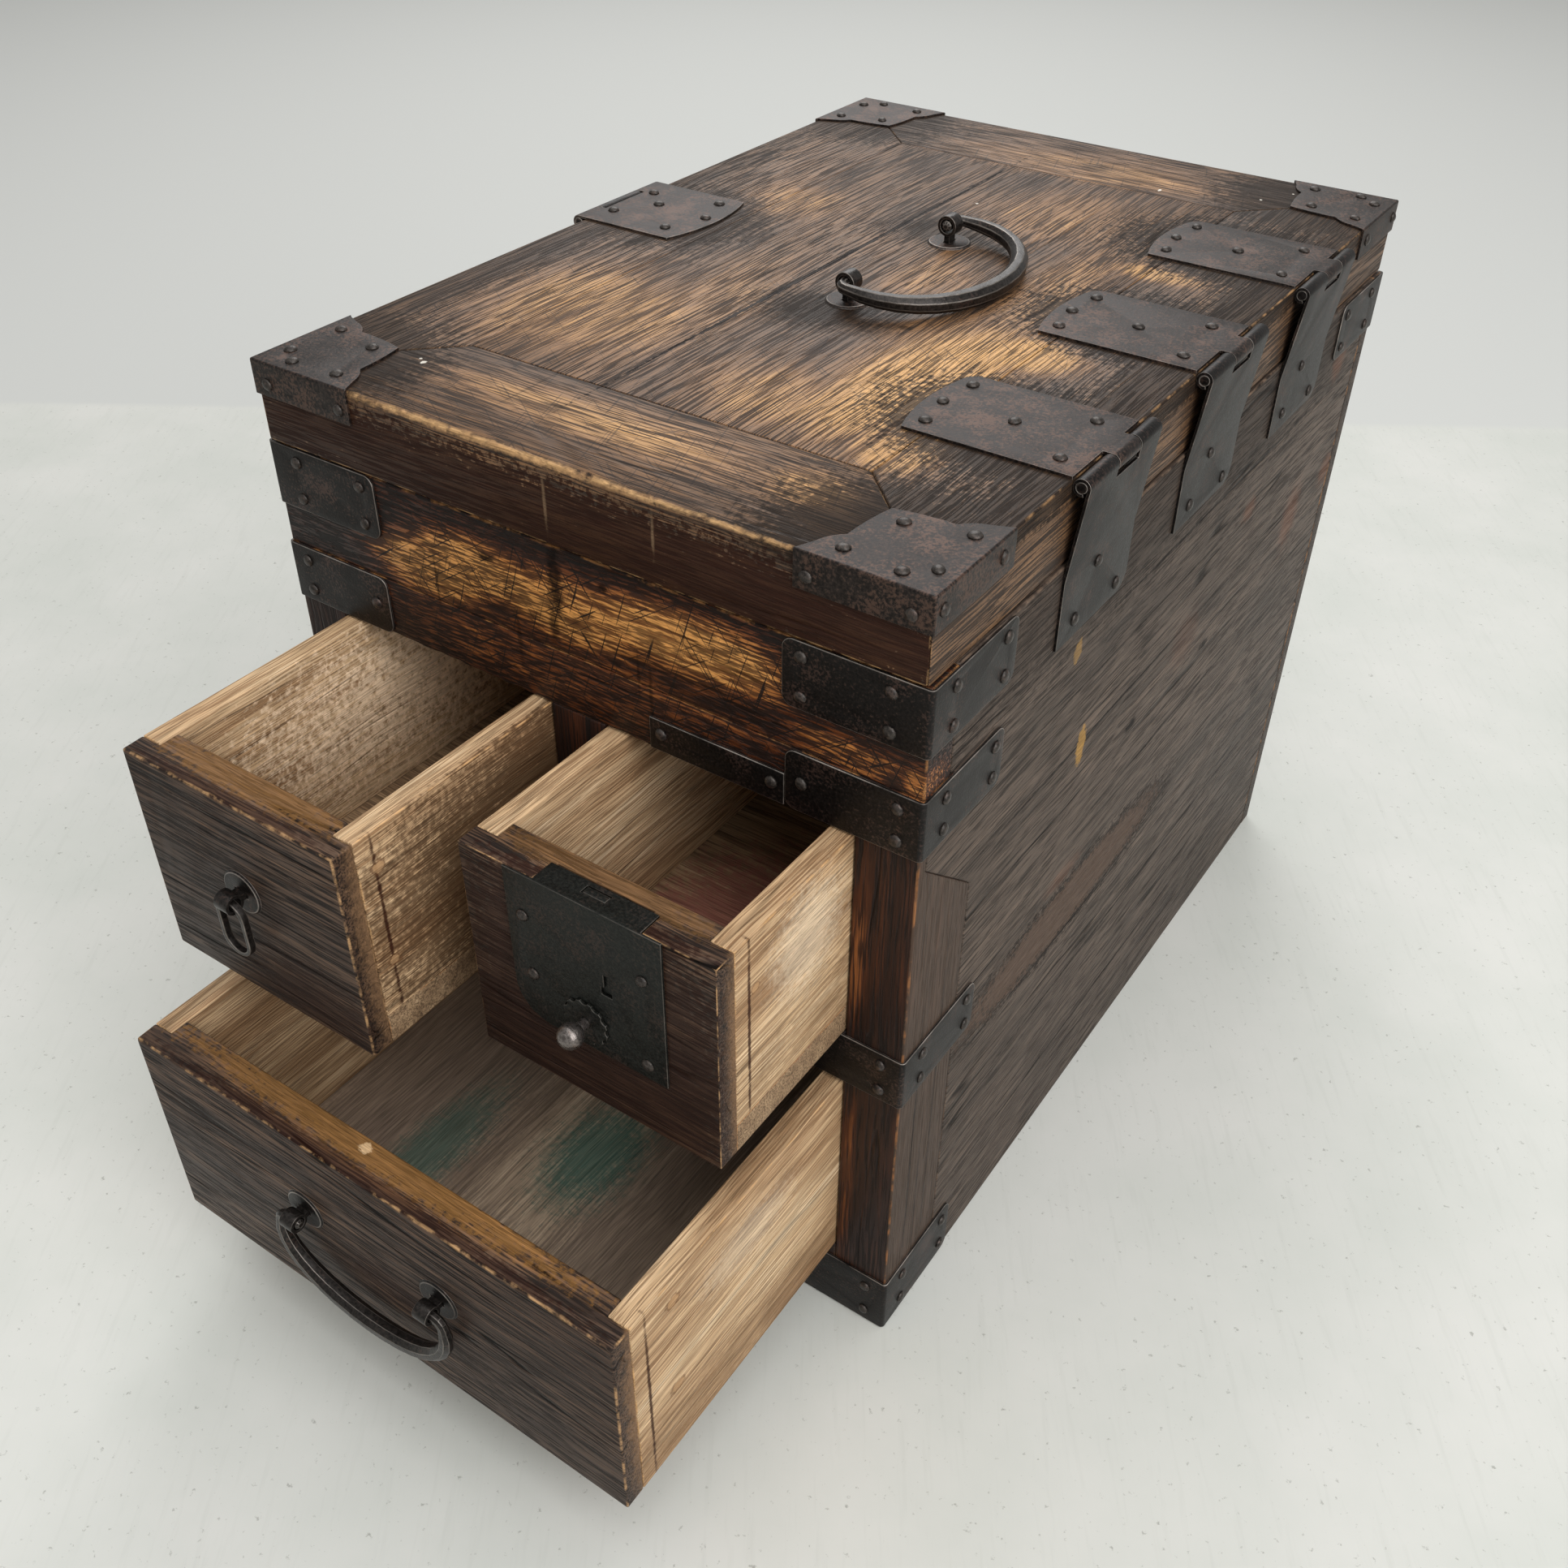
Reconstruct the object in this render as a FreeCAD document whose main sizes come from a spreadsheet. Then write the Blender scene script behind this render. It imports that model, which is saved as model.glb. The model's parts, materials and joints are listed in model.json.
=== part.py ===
"""Small tansu chest: a merchant's box with a hinged lid, two small drawers and one wide drawer.

Millimetres, +Z up. The origin is the middle of the underside of the case.
The drawers run along Y and their fronts face -Y. The lid turns on three hinges along the +X side.
The drawers stand part way out, as they do when someone is looking into them.
"""
import FreeCAD, Part
import math
import os
import Sketcher

doc = FreeCAD.newDocument("small_tansu")
Vector = FreeCAD.Vector
Rotation = FreeCAD.Rotation
X_AXIS, Y_AXIS, Z_AXIS = Vector(1, 0, 0), Vector(0, 1, 0), Vector(0, 0, 1)
LEFT, RIGHT = -1, 1

# ---------------------------------------------------------------- driving dimensions
DIMENSIONS = {
    "case_width": 278.0, "case_depth": 405.0, "case_height": 319.5,
    "side_thickness": 14.0, "back_thickness": 10.0,
    "post_width": 23.8, "post_depth": 38.0, "rail_end_depth": 18.5,
    "mitre_low": 217.5, "mitre_high": 246.3, "mitre_front": 5.0,
    "base_rail_height": 36.7, "wide_opening": 99.5, "middle_rail_height": 25.9,
    "small_opening": 91.9, "top_rail_height": 24.0, "front_board_thickness": 16.0,
    "divider_width": 24.4, "partition_thickness": 10.0, "shelf_thickness": 10.0,
    "floor_thickness": 8.0, "bottom_thickness": 12.0, "guide_height": 24.0, "runner_width": 21.0,
    "drawer_gap": 0.5, "drawer_front_thickness": 16.5, "drawer_lap": 9.0,
    "drawer_side": 9.0, "drawer_floor": 12.6, "drawer_base": 6.0, "drawer_length": 378.0,
    "left_pull": 103.8, "right_pull": 74.0, "wide_pull": 132.8,
    "lid_width": 276.0, "lid_depth": 406.0, "lid_thickness": 30.2, "lid_gap": 0.8,
    "lid_shift": -0.8, "frame_width": 54.0, "panel_thickness": 13.0, "panel_seam": -24.0,
    "sheet": 1.0, "bend_radius": 1.8, "strap_leg": 51.5, "strap_height": 23.6,
    "base_strap_height": 29.0, "corner_plate_height": 25.0, "strap_corner": 4.0,
    "lid_plate_leg": 47.5, "lid_plate_fold": 12.0, "lid_plate_tip": 36.5, "lid_plate_waist": 15.5,
    "hinge_sheet": 1.1, "barrel_radius": 3.1, "pin_radius": 1.95, "pin_play": 0.05,
    "leaf_width": 54.0, "lid_leaf_width": 49.0, "lid_leaf_reach": 66.0, "case_leaf_drop": 61.0,
    "leaf_crank": 35.0, "near_knuckle": 21.0, "far_knuckle": 16.0, "knuckle_play": 0.5,
    "hinge_pitch": 97.3, "hinge_middle": -21.7,
    "hasp_width": 55.0, "hasp_drop": 66.0, "hasp_middle": 3.6, "hasp_tilt": 14.0,
    "lid_eye_radius": 4.2, "lid_eye_hole": 2.9, "lid_eye_height": 7.6,
    "eye_radius": 3.8, "eye_hole": 2.6, "eye_width": 6.4, "eye_height": 6.2,
    "washer_radius": 9.2,
    "lid_handle_span": 77.6, "lid_handle_middle": 3.0, "lid_handle_offset": 2.6,
    "lid_handle_reach": 44.5, "lid_handle_rest": 4.9,
    "pull_span": 67.0, "pull_offset": 0.4, "pull_height": 94.0, "pull_reach": 35.0,
    "ring_offset": -65.2, "ring_height": 213.0,
    "lock_left": 32.3, "lock_width": 62.7, "lock_height": 63.5, "lock_corner": 14.0,
    "bolt_offset": 65.4, "bolt_width": 9.0, "bolt_thickness": 3.0, "bolt_set_back": 5.5,
    "bolt_throw": 6.0, "knob_offset": 62.5, "knob_height": 201.7, "knob_shank": 1.7,
    "nail_head": 2.5, "nail_rise": 1.5, "nail_shank": 2.0, "nail_length": 9.0,
}


class Size(float):
    """A number that also carries the spreadsheet formula it comes from."""

    def __new__(cls, value, formula):
        size = float.__new__(cls, value)
        size.formula = formula
        return size

    def __add__(self, other):
        return Size(float(self) + float(other), "(%s + %s)" % (formula_of(self), formula_of(other)))

    def __radd__(self, other):
        return Size(float(other) + float(self), "(%s + %s)" % (formula_of(other), formula_of(self)))

    def __sub__(self, other):
        return Size(float(self) - float(other), "(%s - %s)" % (formula_of(self), formula_of(other)))

    def __rsub__(self, other):
        return Size(float(other) - float(self), "(%s - %s)" % (formula_of(other), formula_of(self)))

    def __mul__(self, other):
        return Size(float(self) * float(other), "(%s * %s)" % (formula_of(self), formula_of(other)))

    def __rmul__(self, other):
        return Size(float(other) * float(self), "(%s * %s)" % (formula_of(other), formula_of(self)))

    def __truediv__(self, other):
        return Size(float(self) / float(other), "(%s / %s)" % (formula_of(self), formula_of(other)))

    def __neg__(self):
        return Size(-float(self), "(-%s)" % formula_of(self))


def formula_of(number):
    """The spreadsheet formula of a Size, or a plain number as text."""
    if isinstance(number, Size):
        return number.formula
    text = "%.6g" % number
    return "(%s)" % text if number < 0 else text


class Dimensions:
    """The spreadsheet's cells by name, each as a Size."""

    def __init__(self, values):
        cells = doc.addObject("Spreadsheet::Sheet", "dims")
        for row, (name, value) in enumerate(values.items(), start=1):
            cells.set("A%d" % row, name)
            cells.set("B%d" % row, "%g" % value)
            cells.setAlias("B%d" % row, name)
            setattr(self, name, Size(value, "dims." + name))


d = Dimensions(DIMENSIONS)
doc.recompute()

# ---------------------------------------------------------------- places worked out from them
half_width = d.case_width / 2
half_depth = d.case_depth / 2
inner_wall = half_width - d.side_thickness
front_face = -half_depth
post_back = front_face + d.post_depth
step_back = front_face + d.rail_end_depth
mitre_tip = front_face + d.mitre_front
back_face = half_depth - d.back_thickness
opening_half = half_width - d.post_width
wide_top = d.base_rail_height + d.wide_opening
shelf_top = wide_top + d.middle_rail_height
small_top = shelf_top + d.small_opening
front_board_base = small_top + d.top_rail_height
case_floor_top = small_top + 2 + d.floor_thickness
lid_base = d.case_height + d.lid_gap
lid_top = lid_base + d.lid_thickness
lid_half = d.lid_width / 2
lid_front = d.lid_shift - d.lid_depth / 2
lid_back = d.lid_shift + d.lid_depth / 2
panel_half_depth = d.lid_depth / 2 - d.frame_width
hinge_x = lid_half + d.barrel_radius + 0.2
hinge_z = lid_top + d.hinge_sheet - d.barrel_radius


# ---------------------------------------------------------------- building blocks
def bind(obj, path, value):
    """Set a property from a number, and tie it to the sheet when the number comes from there."""
    if isinstance(value, Size):
        obj.setExpression(path, value.formula)
    else:
        holder, _, leaf = path.rpartition(".")
        if holder == "Placement.Base":
            base = obj.Placement.Base
            setattr(base, leaf, float(value))
            obj.Placement = FreeCAD.Placement(base, obj.Placement.Rotation)
        else:
            setattr(obj, path, float(value))


def board(label, corner, size):
    """A rectangular piece from its lowest corner and its size."""
    box = doc.addObject("Part::Box", label)
    for path, value in zip(("Length", "Width", "Height"), size):
        bind(box, path, value)
    for axis, value in zip("xyz", corner):
        bind(box, "Placement.Base." + axis, value)
    return box


def between(label, low, high):
    """A rectangular piece from its lowest and its highest corner."""
    return board(label, low, [top - bottom for bottom, top in zip(low, high)])


def cut(label, base, tool):
    result = doc.addObject("Part::Cut", label)
    result.Base = base
    result.Tool = tool
    return result


def together(label, pieces):
    """Separate solids kept in one node."""
    group = doc.addObject("Part::Compound", label)
    group.Links = pieces
    return group


def mirrored(label, source, normal, base=Vector(0, 0, 0)):
    mirror = doc.addObject("Part::Mirroring", label)
    mirror.Source = source
    mirror.Normal = normal
    mirror.Base = base
    return mirror


def plane_of(body, role):
    return next(item for item in body.Origin.OriginFeatures if item.Role == role)


def outline(sketch, points):
    """Draw a closed outline of lines and arcs, each corner tied to the sheet.

    A point is (u, v), or (u, v, radius) when an arc leads on from it to the next point.
    A positive radius turns left on the way, a negative one turns right.
    """
    count = len(points)
    for index, point in enumerate(points):
        start = Vector(float(point[0]), float(point[1]), 0)
        end = Vector(float(points[(index + 1) % count][0]), float(points[(index + 1) % count][1]), 0)
        if len(point) == 2:
            sketch.addGeometry(Part.LineSegment(start, end), False)
            continue
        radius = abs(float(point[2]))
        chord = end - start
        rise = radius - math.sqrt(max(radius * radius - chord.Length ** 2 / 4, 0))
        side = Vector(chord.y, -chord.x, 0).normalize() * math.copysign(rise, float(point[2]))
        sketch.addGeometry(Part.Arc(start, (start + end) / 2 + side, end), False)
    for index, point in enumerate(points):
        turned = len(point) == 3 and float(point[2]) < 0
        joined = len(points[index - 1]) == 3 and float(points[index - 1][2]) < 0
        this_end = 2 if turned else 1
        last_end = 1 if joined else 2
        sketch.addConstraint(Sketcher.Constraint(
            "Coincident", (index - 1) % count, last_end, index, this_end))
        for kind, value, axis in (("DistanceX", point[0], -2), ("DistanceY", point[1], -1)):
            if abs(float(value)) < 1e-9:
                sketch.addConstraint(Sketcher.Constraint("PointOnObject", index, this_end, axis))
                continue
            number = sketch.addConstraint(
                Sketcher.Constraint(kind, -1, 1, index, this_end, float(value)))
            if isinstance(value, Size):
                sketch.setExpression("Constraints[%d]" % number, value.formula)
        if len(point) == 3:
            sketch.addConstraint(Sketcher.Constraint("Radius", index, abs(float(point[2]))))


def sketch_on(body, role, offset, name):
    """A sketch on one of the body's own planes, moved along the plane's normal by offset."""
    sketch = body.newObject("Sketcher::SketchObject", name)
    sketch.AttachmentSupport = [(plane_of(body, role), "")]
    sketch.MapMode = "FlatFace"
    if isinstance(offset, Size):
        sketch.setExpression("AttachmentOffset.Base.z", offset.formula)
    else:
        sketch.AttachmentOffset = FreeCAD.Placement(Vector(0, 0, offset), Rotation())
    return sketch


def pad(body, role, points, start, depth, name="profile"):
    """Pad an outline by depth from start, both along +X, +Y or +Z.

    The XZ plane's normal is -Y, so its sketch is set back and padded in reverse.
    """
    facing_back = role == "XZ_Plane"
    sketch = sketch_on(body, role, -start if facing_back else start, name)
    outline(sketch, points)
    feature = body.newObject("PartDesign::Pad", "pad_" + name)
    feature.Profile = sketch
    bind(feature, "Length", depth)
    feature.Reversed = facing_back
    return feature


def prism(label, role, points, start, depth):
    body = doc.addObject("PartDesign::Body", label)
    pad(body, role, points, start, depth)
    return body


def pocket(body, role, points, start, depth, name):
    """Cut an outline out of the body by depth from start, both along +X, +Y or +Z."""
    facing_back = role == "XZ_Plane"
    sketch = sketch_on(body, role, -start if facing_back else start, name)
    outline(sketch, points)
    feature = body.newObject("PartDesign::Pocket", "pocket_" + name)
    feature.Profile = sketch
    bind(feature, "Length", depth)
    feature.Reversed = not facing_back
    return feature


def round_edges(body, radius, wanted, kind="PartDesign::Fillet"):
    """Round the edges whose centre passes the test."""
    doc.recompute()
    names = ["Edge%d" % number for number, edge in enumerate(body.Shape.Edges, start=1) if wanted(edge)]
    solid = body.Tip
    feature = body.newObject(kind, "rounding")
    feature.Base = (solid, names)
    bind(feature, "Radius" if kind.endswith("Fillet") else "Size", radius)
    return feature


def rectangle(u_low, v_low, u_high, v_high):
    return [(u_low, v_low), (u_high, v_low), (u_high, v_high), (u_low, v_high)]


def plain_feature(label, shape):
    feature = doc.addObject("Part::Feature", label)
    feature.Shape = shape
    return feature


# ---------------------------------------------------------------- nails
def frame_along(direction):
    """The rotation that turns +Z to the direction, with the nail's flats square to the axes."""
    return Rotation(Z_AXIS, direction)


def corners_round(radius, height, count, turn):
    """Corners of a regular flat section about the Z axis."""
    return [Vector(radius * math.cos(2 * math.pi * (k + turn) / count),
                   radius * math.sin(2 * math.pi * (k + turn) / count), height) for k in range(count)]


def flat_sided_point(section, tip):
    """A closed pyramid with flat faces from a section to its tip."""
    faces = [Part.Face(Part.makePolygon(section + section[:1]))]
    for corner, following in zip(section, section[1:] + section[:1]):
        faces.append(Part.Face(Part.makePolygon([corner, following, tip, corner])))
    solid = Part.Solid(Part.Shell(faces))
    if solid.Volume < 0:
        solid.reverse()
    return solid


def forged_nail():
    """A hand-forged nail: a low head of eight hammered facets on a square shank drawn to a point."""
    head = flat_sided_point(corners_round(d.nail_head, 0, 8, 0.5), Vector(0, 0, d.nail_rise))
    shank = flat_sided_point(corners_round(d.nail_shank / math.sqrt(2), 0, 4, 0.5),
                             Vector(0, 0, -d.nail_length))
    return head.fuse(shank)


def placed(shape, position, outward):
    copy = shape.copy()
    copy.Placement = FreeCAD.Placement(Vector(*position), frame_along(outward))
    return copy


def nails(label, places):
    """All nails of one assembly as separate solids; a place is (position, outward)."""
    nail = forged_nail()
    return plain_feature(label, Part.makeCompound([placed(nail, *place) for place in places]))


def punch_holes(label, plates, places):
    """Square holes through thin plates at the nails."""
    width = d.nail_shank + 0.1
    punch = Part.makeBox(width, width, 8, Vector(-width / 2, -width / 2, -6))
    punches = plain_feature("punches_" + label,
                            Part.makeCompound([placed(punch, *place) for place in places]))
    return cut(label, plates, punches)


# ---------------------------------------------------------------- case: woodwork
def side_board(label, side):
    """One wide board, mitred down on to the back of the post and notched for the rail's end."""
    profile = [(post_back, 0), (back_face, 0), (back_face, d.case_height),
               (front_face + d.front_board_thickness, d.case_height),
               (front_face + d.front_board_thickness, front_board_base),
               (step_back, front_board_base), (step_back, small_top), (mitre_tip, small_top),
               (mitre_tip, d.mitre_high), (post_back, d.mitre_low)]
    start = inner_wall if side == RIGHT else -half_width
    return prism(label, "YZ_Plane", profile, start, d.side_thickness)


def front_post(label, side):
    profile = [(front_face, 0), (post_back, 0), (post_back, d.mitre_low),
               (mitre_tip, d.mitre_high), (mitre_tip, small_top), (front_face, small_top)]
    start = opening_half if side == RIGHT else -half_width
    return prism(label, "YZ_Plane", profile, start, d.post_width)


side_board("side_board_left", LEFT)
side_board("side_board_right", RIGHT)
front_post("front_post_left", LEFT)
front_post("front_post_right", RIGHT)
between("back_board", (-half_width, back_face, 0), (half_width, half_depth, d.case_height))
between("bottom_board", (-inner_wall, post_back, 0), (inner_wall, back_face, d.bottom_thickness))
between("bottom_rail", (-opening_half, front_face, 0), (opening_half, post_back, d.base_rail_height))
between("middle_rail", (-opening_half, front_face, wide_top), (opening_half, post_back, shelf_top))
between("upper_front_board", (-half_width, front_face, front_board_base),
        (half_width, front_face + d.front_board_thickness, d.case_height))
between("drawer_shelf", (-inner_wall, post_back, shelf_top - d.shelf_thickness),
        (inner_wall, back_face, shelf_top))
between("compartment_floor", (-inner_wall, step_back, small_top + 2),
        (inner_wall, back_face, case_floor_top))
between("divider_post", (-d.divider_width / 2, front_face, shelf_top),
        (d.divider_width / 2, step_back, small_top))
between("drawer_partition", (-d.partition_thickness / 2, step_back, shelf_top),
        (d.partition_thickness / 2, back_face, small_top + 2))

# The rail over the small drawers has a narrow mortise underneath for the lock bolt.
mortise_half = d.bolt_width / 2 + 0.4
mortise_middle = front_face + d.bolt_set_back
plain_top_rail = between("plain_top_rail", (-half_width, front_face, small_top),
                         (half_width, step_back, front_board_base))
bolt_mortise = between("bolt_mortise",
                       (d.bolt_offset - mortise_half, mortise_middle - 1.9, small_top - 1),
                       (d.bolt_offset + mortise_half, mortise_middle + 1.9, small_top + d.bolt_throw + 2))
cut("top_rail", plain_top_rail, bolt_mortise)


def runner(side):
    """A rebated strip: the wide drawer slides on its step and its upright keeps the drawer straight."""
    inner = inner_wall - d.runner_width
    profile = [(inner, d.bottom_thickness), (inner_wall, d.bottom_thickness),
               (inner_wall, d.base_rail_height + d.guide_height),
               (opening_half, d.base_rail_height + d.guide_height),
               (opening_half, d.base_rail_height), (inner, d.base_rail_height)]
    if side == LEFT:
        profile = [(-u, v) for u, v in reversed(profile)]
    return prism("runner_%s" % ("right" if side == RIGHT else "left"), "XZ_Plane", profile,
                 post_back, back_face - post_back)


runners = [runner(LEFT), runner(RIGHT)]


def guide(name, low_x, high_x):
    return between("guide_" + name, (low_x, post_back, shelf_top),
                   (high_x, back_face, shelf_top + d.guide_height))


together("drawer_runners", runners + [
    guide("left", -inner_wall, -opening_half),
    guide("middle_left", -d.divider_width / 2, -d.partition_thickness / 2),
    guide("middle_right", d.partition_thickness / 2, d.divider_width / 2),
    guide("right", opening_half, inner_wall)])


# ---------------------------------------------------------------- case: iron corners and straps
def corner_strap(name, leg, base, height):
    """Sheet iron bent round the right front corner of the case, its free corners rounded off."""
    outer_x = half_width + d.sheet
    outer_y = front_face - d.sheet
    plan = [(outer_x - leg, outer_y), (outer_x - d.bend_radius, outer_y, d.bend_radius),
            (outer_x, outer_y + d.bend_radius), (outer_x, outer_y + leg),
            (half_width, outer_y + leg), (half_width, front_face), (outer_x - leg, front_face)]
    body = prism(name, "XY_Plane", plan, base, height)

    def at_free_end(edge):
        middle = edge.CenterOfMass
        along_thickness = edge.Length < d.sheet * 1.5
        at_front_end = abs(middle.x - (outer_x - leg)) < 0.01
        at_side_end = abs(middle.y - (outer_y + leg)) < 0.01
        return along_thickness and (at_front_end or at_side_end)

    round_edges(body, d.strap_corner, at_free_end)
    return body


def strap_nails(base, height, leg):
    """Two nails beside the bend and one or two near each free end, on the right corner."""
    low, high = base + height * 0.22, base + height * 0.76
    front_x = [half_width - 8.5, half_width - leg + 7.5]
    side_y = [front_face + 12.5, front_face + leg - 7.0]
    places = [((front_x[0], front_face - d.sheet, level), -Y_AXIS) for level in (low, high)]
    places.append(((front_x[1], front_face - d.sheet, base + height * 0.5), -Y_AXIS))
    places += [((half_width + d.sheet, along, level), X_AXIS) for along in side_y for level in (low, high)]
    return places


def corner_plate_nails(base, height, leg):
    """Four nails on each leg of the plates at the top corners."""
    low, high = base + height * 0.2, base + height * 0.78
    places = []
    for level in (low, high):
        for inset in (14.0, leg - 7.0):
            places.append(((half_width + d.sheet - inset, front_face - d.sheet, level), -Y_AXIS))
            places.append(((half_width + d.sheet, front_face - d.sheet + inset, level), X_AXIS))
    return places


def on_the_other_side(places, flip_x=False, flip_y=False, middle_y=0.0):
    """The same nails on the opposite corner."""
    result = []
    for (x, y, z), outward in places:
        new_x, new_dx = (-x, -outward.x) if flip_x else (x, outward.x)
        new_y, new_dy = (2 * middle_y - y, -outward.y) if flip_y else (y, outward.y)
        result.append(((new_x, new_y, z), Vector(new_dx, new_dy, outward.z)))
    return result


def both_sides(places):
    return places + on_the_other_side(places, flip_x=True)


strap_levels = {
    "base": (Size(0.6, "0.6"), d.base_strap_height),
    "middle": (wide_top + 1.2, d.strap_height),
    "top": (small_top + 0.2, d.strap_height),
}
straps, strap_places = [], []
for level, (base, height) in strap_levels.items():
    strap = corner_strap("%s_strap" % level, d.strap_leg, base, height)
    straps += [strap, mirrored("%s_strap_left" % level, strap, X_AXIS)]
    strap_places += both_sides(strap_nails(base, height, d.strap_leg))
punch_holes("front_straps", together("all_straps", straps), strap_places)

plate_base = d.case_height - d.corner_plate_height
corner_plate = corner_strap("corner_plate", d.strap_leg + 1.5, plate_base, d.corner_plate_height)
plate_left = mirrored("corner_plate_left", corner_plate, X_AXIS)
plate_rear = mirrored("corner_plate_rear", corner_plate, Y_AXIS)
plate_rear_left = mirrored("corner_plate_rear_left", plate_rear, X_AXIS)
plate_places = corner_plate_nails(plate_base, d.corner_plate_height, d.strap_leg + 1.5)
plate_places = both_sides(plate_places + on_the_other_side(plate_places, flip_y=True))
punch_holes("corner_plates",
            together("all_corner_plates", [corner_plate, plate_left, plate_rear, plate_rear_left]),
            plate_places)

# A low strip along the rail guards the place where the lock bolt goes in.
striker_right = half_width + d.sheet - d.strap_leg - 0.2
striker_left = striker_right - 55
striker_top = small_top + 13
striker = between("plain_striker", (striker_left, front_face - d.sheet, small_top + 0.2),
                  (striker_right, front_face, striker_top))
striker_places = [((x, front_face - d.sheet, small_top + 7.5), -Y_AXIS)
                  for x in (striker_left + 5, striker_right - 5)]
punch_holes("striker_plate", striker, striker_places)


# ---------------------------------------------------------------- lid hinges
def ring_point(radius, degrees, centre):
    """A point on a circle about the hinge axis, as an outline corner tied to the sheet."""
    turn = math.radians(degrees)
    return centre[0] + radius * math.cos(turn), centre[1] + radius * math.sin(turn)


def rolled_eye(centre, start, end, leaf_outer, leaf_inner, reverse):
    """Outline of a sheet that ends in a rolled eye.

    The roll runs from angle start to angle end about the centre. leaf_inner and leaf_outer are the
    corners of the flat leaf, listed from its inner to its outer side, that close the outline.
    """
    outer, inner = d.barrel_radius, d.pin_radius + d.pin_play
    third = (end - start) / 3
    angles = [start, start + third, start + 2 * third, end]
    sign = -1 if reverse else 1
    points = []
    for angle in angles[:-1]:
        points.append(ring_point(outer, angle, centre) + (outer * sign,))
    points.append(ring_point(outer, end, centre))
    for angle in reversed(angles[1:]):
        points.append(ring_point(inner, angle, centre) + (inner * -sign,))
    points.append(ring_point(inner, start, centre))
    return points + leaf_inner + leaf_outer


leaf_bottom = hinge_z - d.case_leaf_drop
crank_z = hinge_z - d.leaf_crank
hinge_centre = (hinge_x, hinge_z)


def case_leaf(number, near):
    """The leaf on the case: cranked off the wall below, rolled into two knuckles above."""
    profile = rolled_eye(
        hinge_centre, 0, 285,
        leaf_inner=[(half_width, crank_z), (half_width, leaf_bottom)],
        leaf_outer=[(half_width + d.hinge_sheet, leaf_bottom), (half_width + d.hinge_sheet, crank_z)],
        reverse=False)
    body = prism("case_leaf_%d" % number, "XZ_Plane", profile, near, d.leaf_width)
    notch = rectangle(hinge_x - 2 * d.barrel_radius, hinge_z - d.barrel_radius - 1.2,
                      hinge_x + 2 * d.barrel_radius, hinge_z + 2 * d.barrel_radius)
    pocket(body, "XZ_Plane", notch, near + d.near_knuckle,
           d.leaf_width - d.near_knuckle - d.far_knuckle, "notch")

    def at_bottom_corner(edge):
        middle = edge.CenterOfMass
        return (abs(middle.z - leaf_bottom) < 0.01 and edge.Length < d.hinge_sheet * 1.2
                and middle.y > near + d.leaf_width / 2)

    round_edges(body, 7.0, at_bottom_corner)
    return body


def lid_leaf(number, near):
    """The leaf on the lid: a broad tongue with a bowed end, rolled into the middle knuckle."""
    leaf_end = lid_half - d.lid_leaf_reach
    profile = rolled_eye(
        hinge_centre, 90, -165,
        leaf_inner=[(leaf_end, lid_top)],
        leaf_outer=[(leaf_end, lid_top + d.hinge_sheet)],
        reverse=True)
    body = prism("lid_leaf_%d" % number, "XZ_Plane", profile, near, d.lid_leaf_width)
    cut_low, cut_high = hinge_z - 2 * d.barrel_radius, lid_top + 2 * d.barrel_radius
    clear_x = lid_half - 0.2
    notch = rectangle(clear_x, cut_low, hinge_x + 2 * d.barrel_radius, cut_high)
    middle_start = near + d.near_knuckle + d.knuckle_play
    middle_end = near + d.leaf_width - d.far_knuckle - d.knuckle_play
    pocket(body, "XZ_Plane", notch, near - 1, middle_start - near + 1, "near_notch")
    pocket(body, "XZ_Plane", notch, middle_end, near + d.lid_leaf_width - middle_end + 1, "far_notch")
    bow = 4.0
    bow_radius = (d.lid_leaf_width * d.lid_leaf_width / 4 + bow * bow) / (2 * bow)
    end_line = [(leaf_end - 1, near - 1), (leaf_end + bow, near - 1), (leaf_end + bow, near, -bow_radius),
                (leaf_end + bow, near + d.lid_leaf_width),
                (leaf_end + bow, near + d.lid_leaf_width + 1),
                (leaf_end - 1, near + d.lid_leaf_width + 1)]
    pocket(body, "XY_Plane", end_line, lid_top - 1, d.hinge_sheet + 2, "bowed_end")

    def at_far_corner(edge):
        middle = edge.CenterOfMass
        return (abs(middle.x - (leaf_end + bow)) < 0.01 and edge.Length < d.hinge_sheet * 1.2
                and middle.y > near + d.lid_leaf_width / 2)

    round_edges(body, 6.0, at_far_corner)
    return body


def case_leaf_nails(near):
    face = half_width + d.hinge_sheet
    spots = ((12, 7), (45, 5), (25.5, 23))
    return [((face, near + along, leaf_bottom + up), X_AXIS) for along, up in spots]


def lid_leaf_nails(near):
    spots = ((8.5, 8), (8, 41), (6, 24), (33, 24), (55, 40), (57, 9))
    leaf_end = lid_half - d.lid_leaf_reach
    return [((leaf_end + inward, near + along, lid_top + d.hinge_sheet), Z_AXIS)
            for inward, along in spots]


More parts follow.
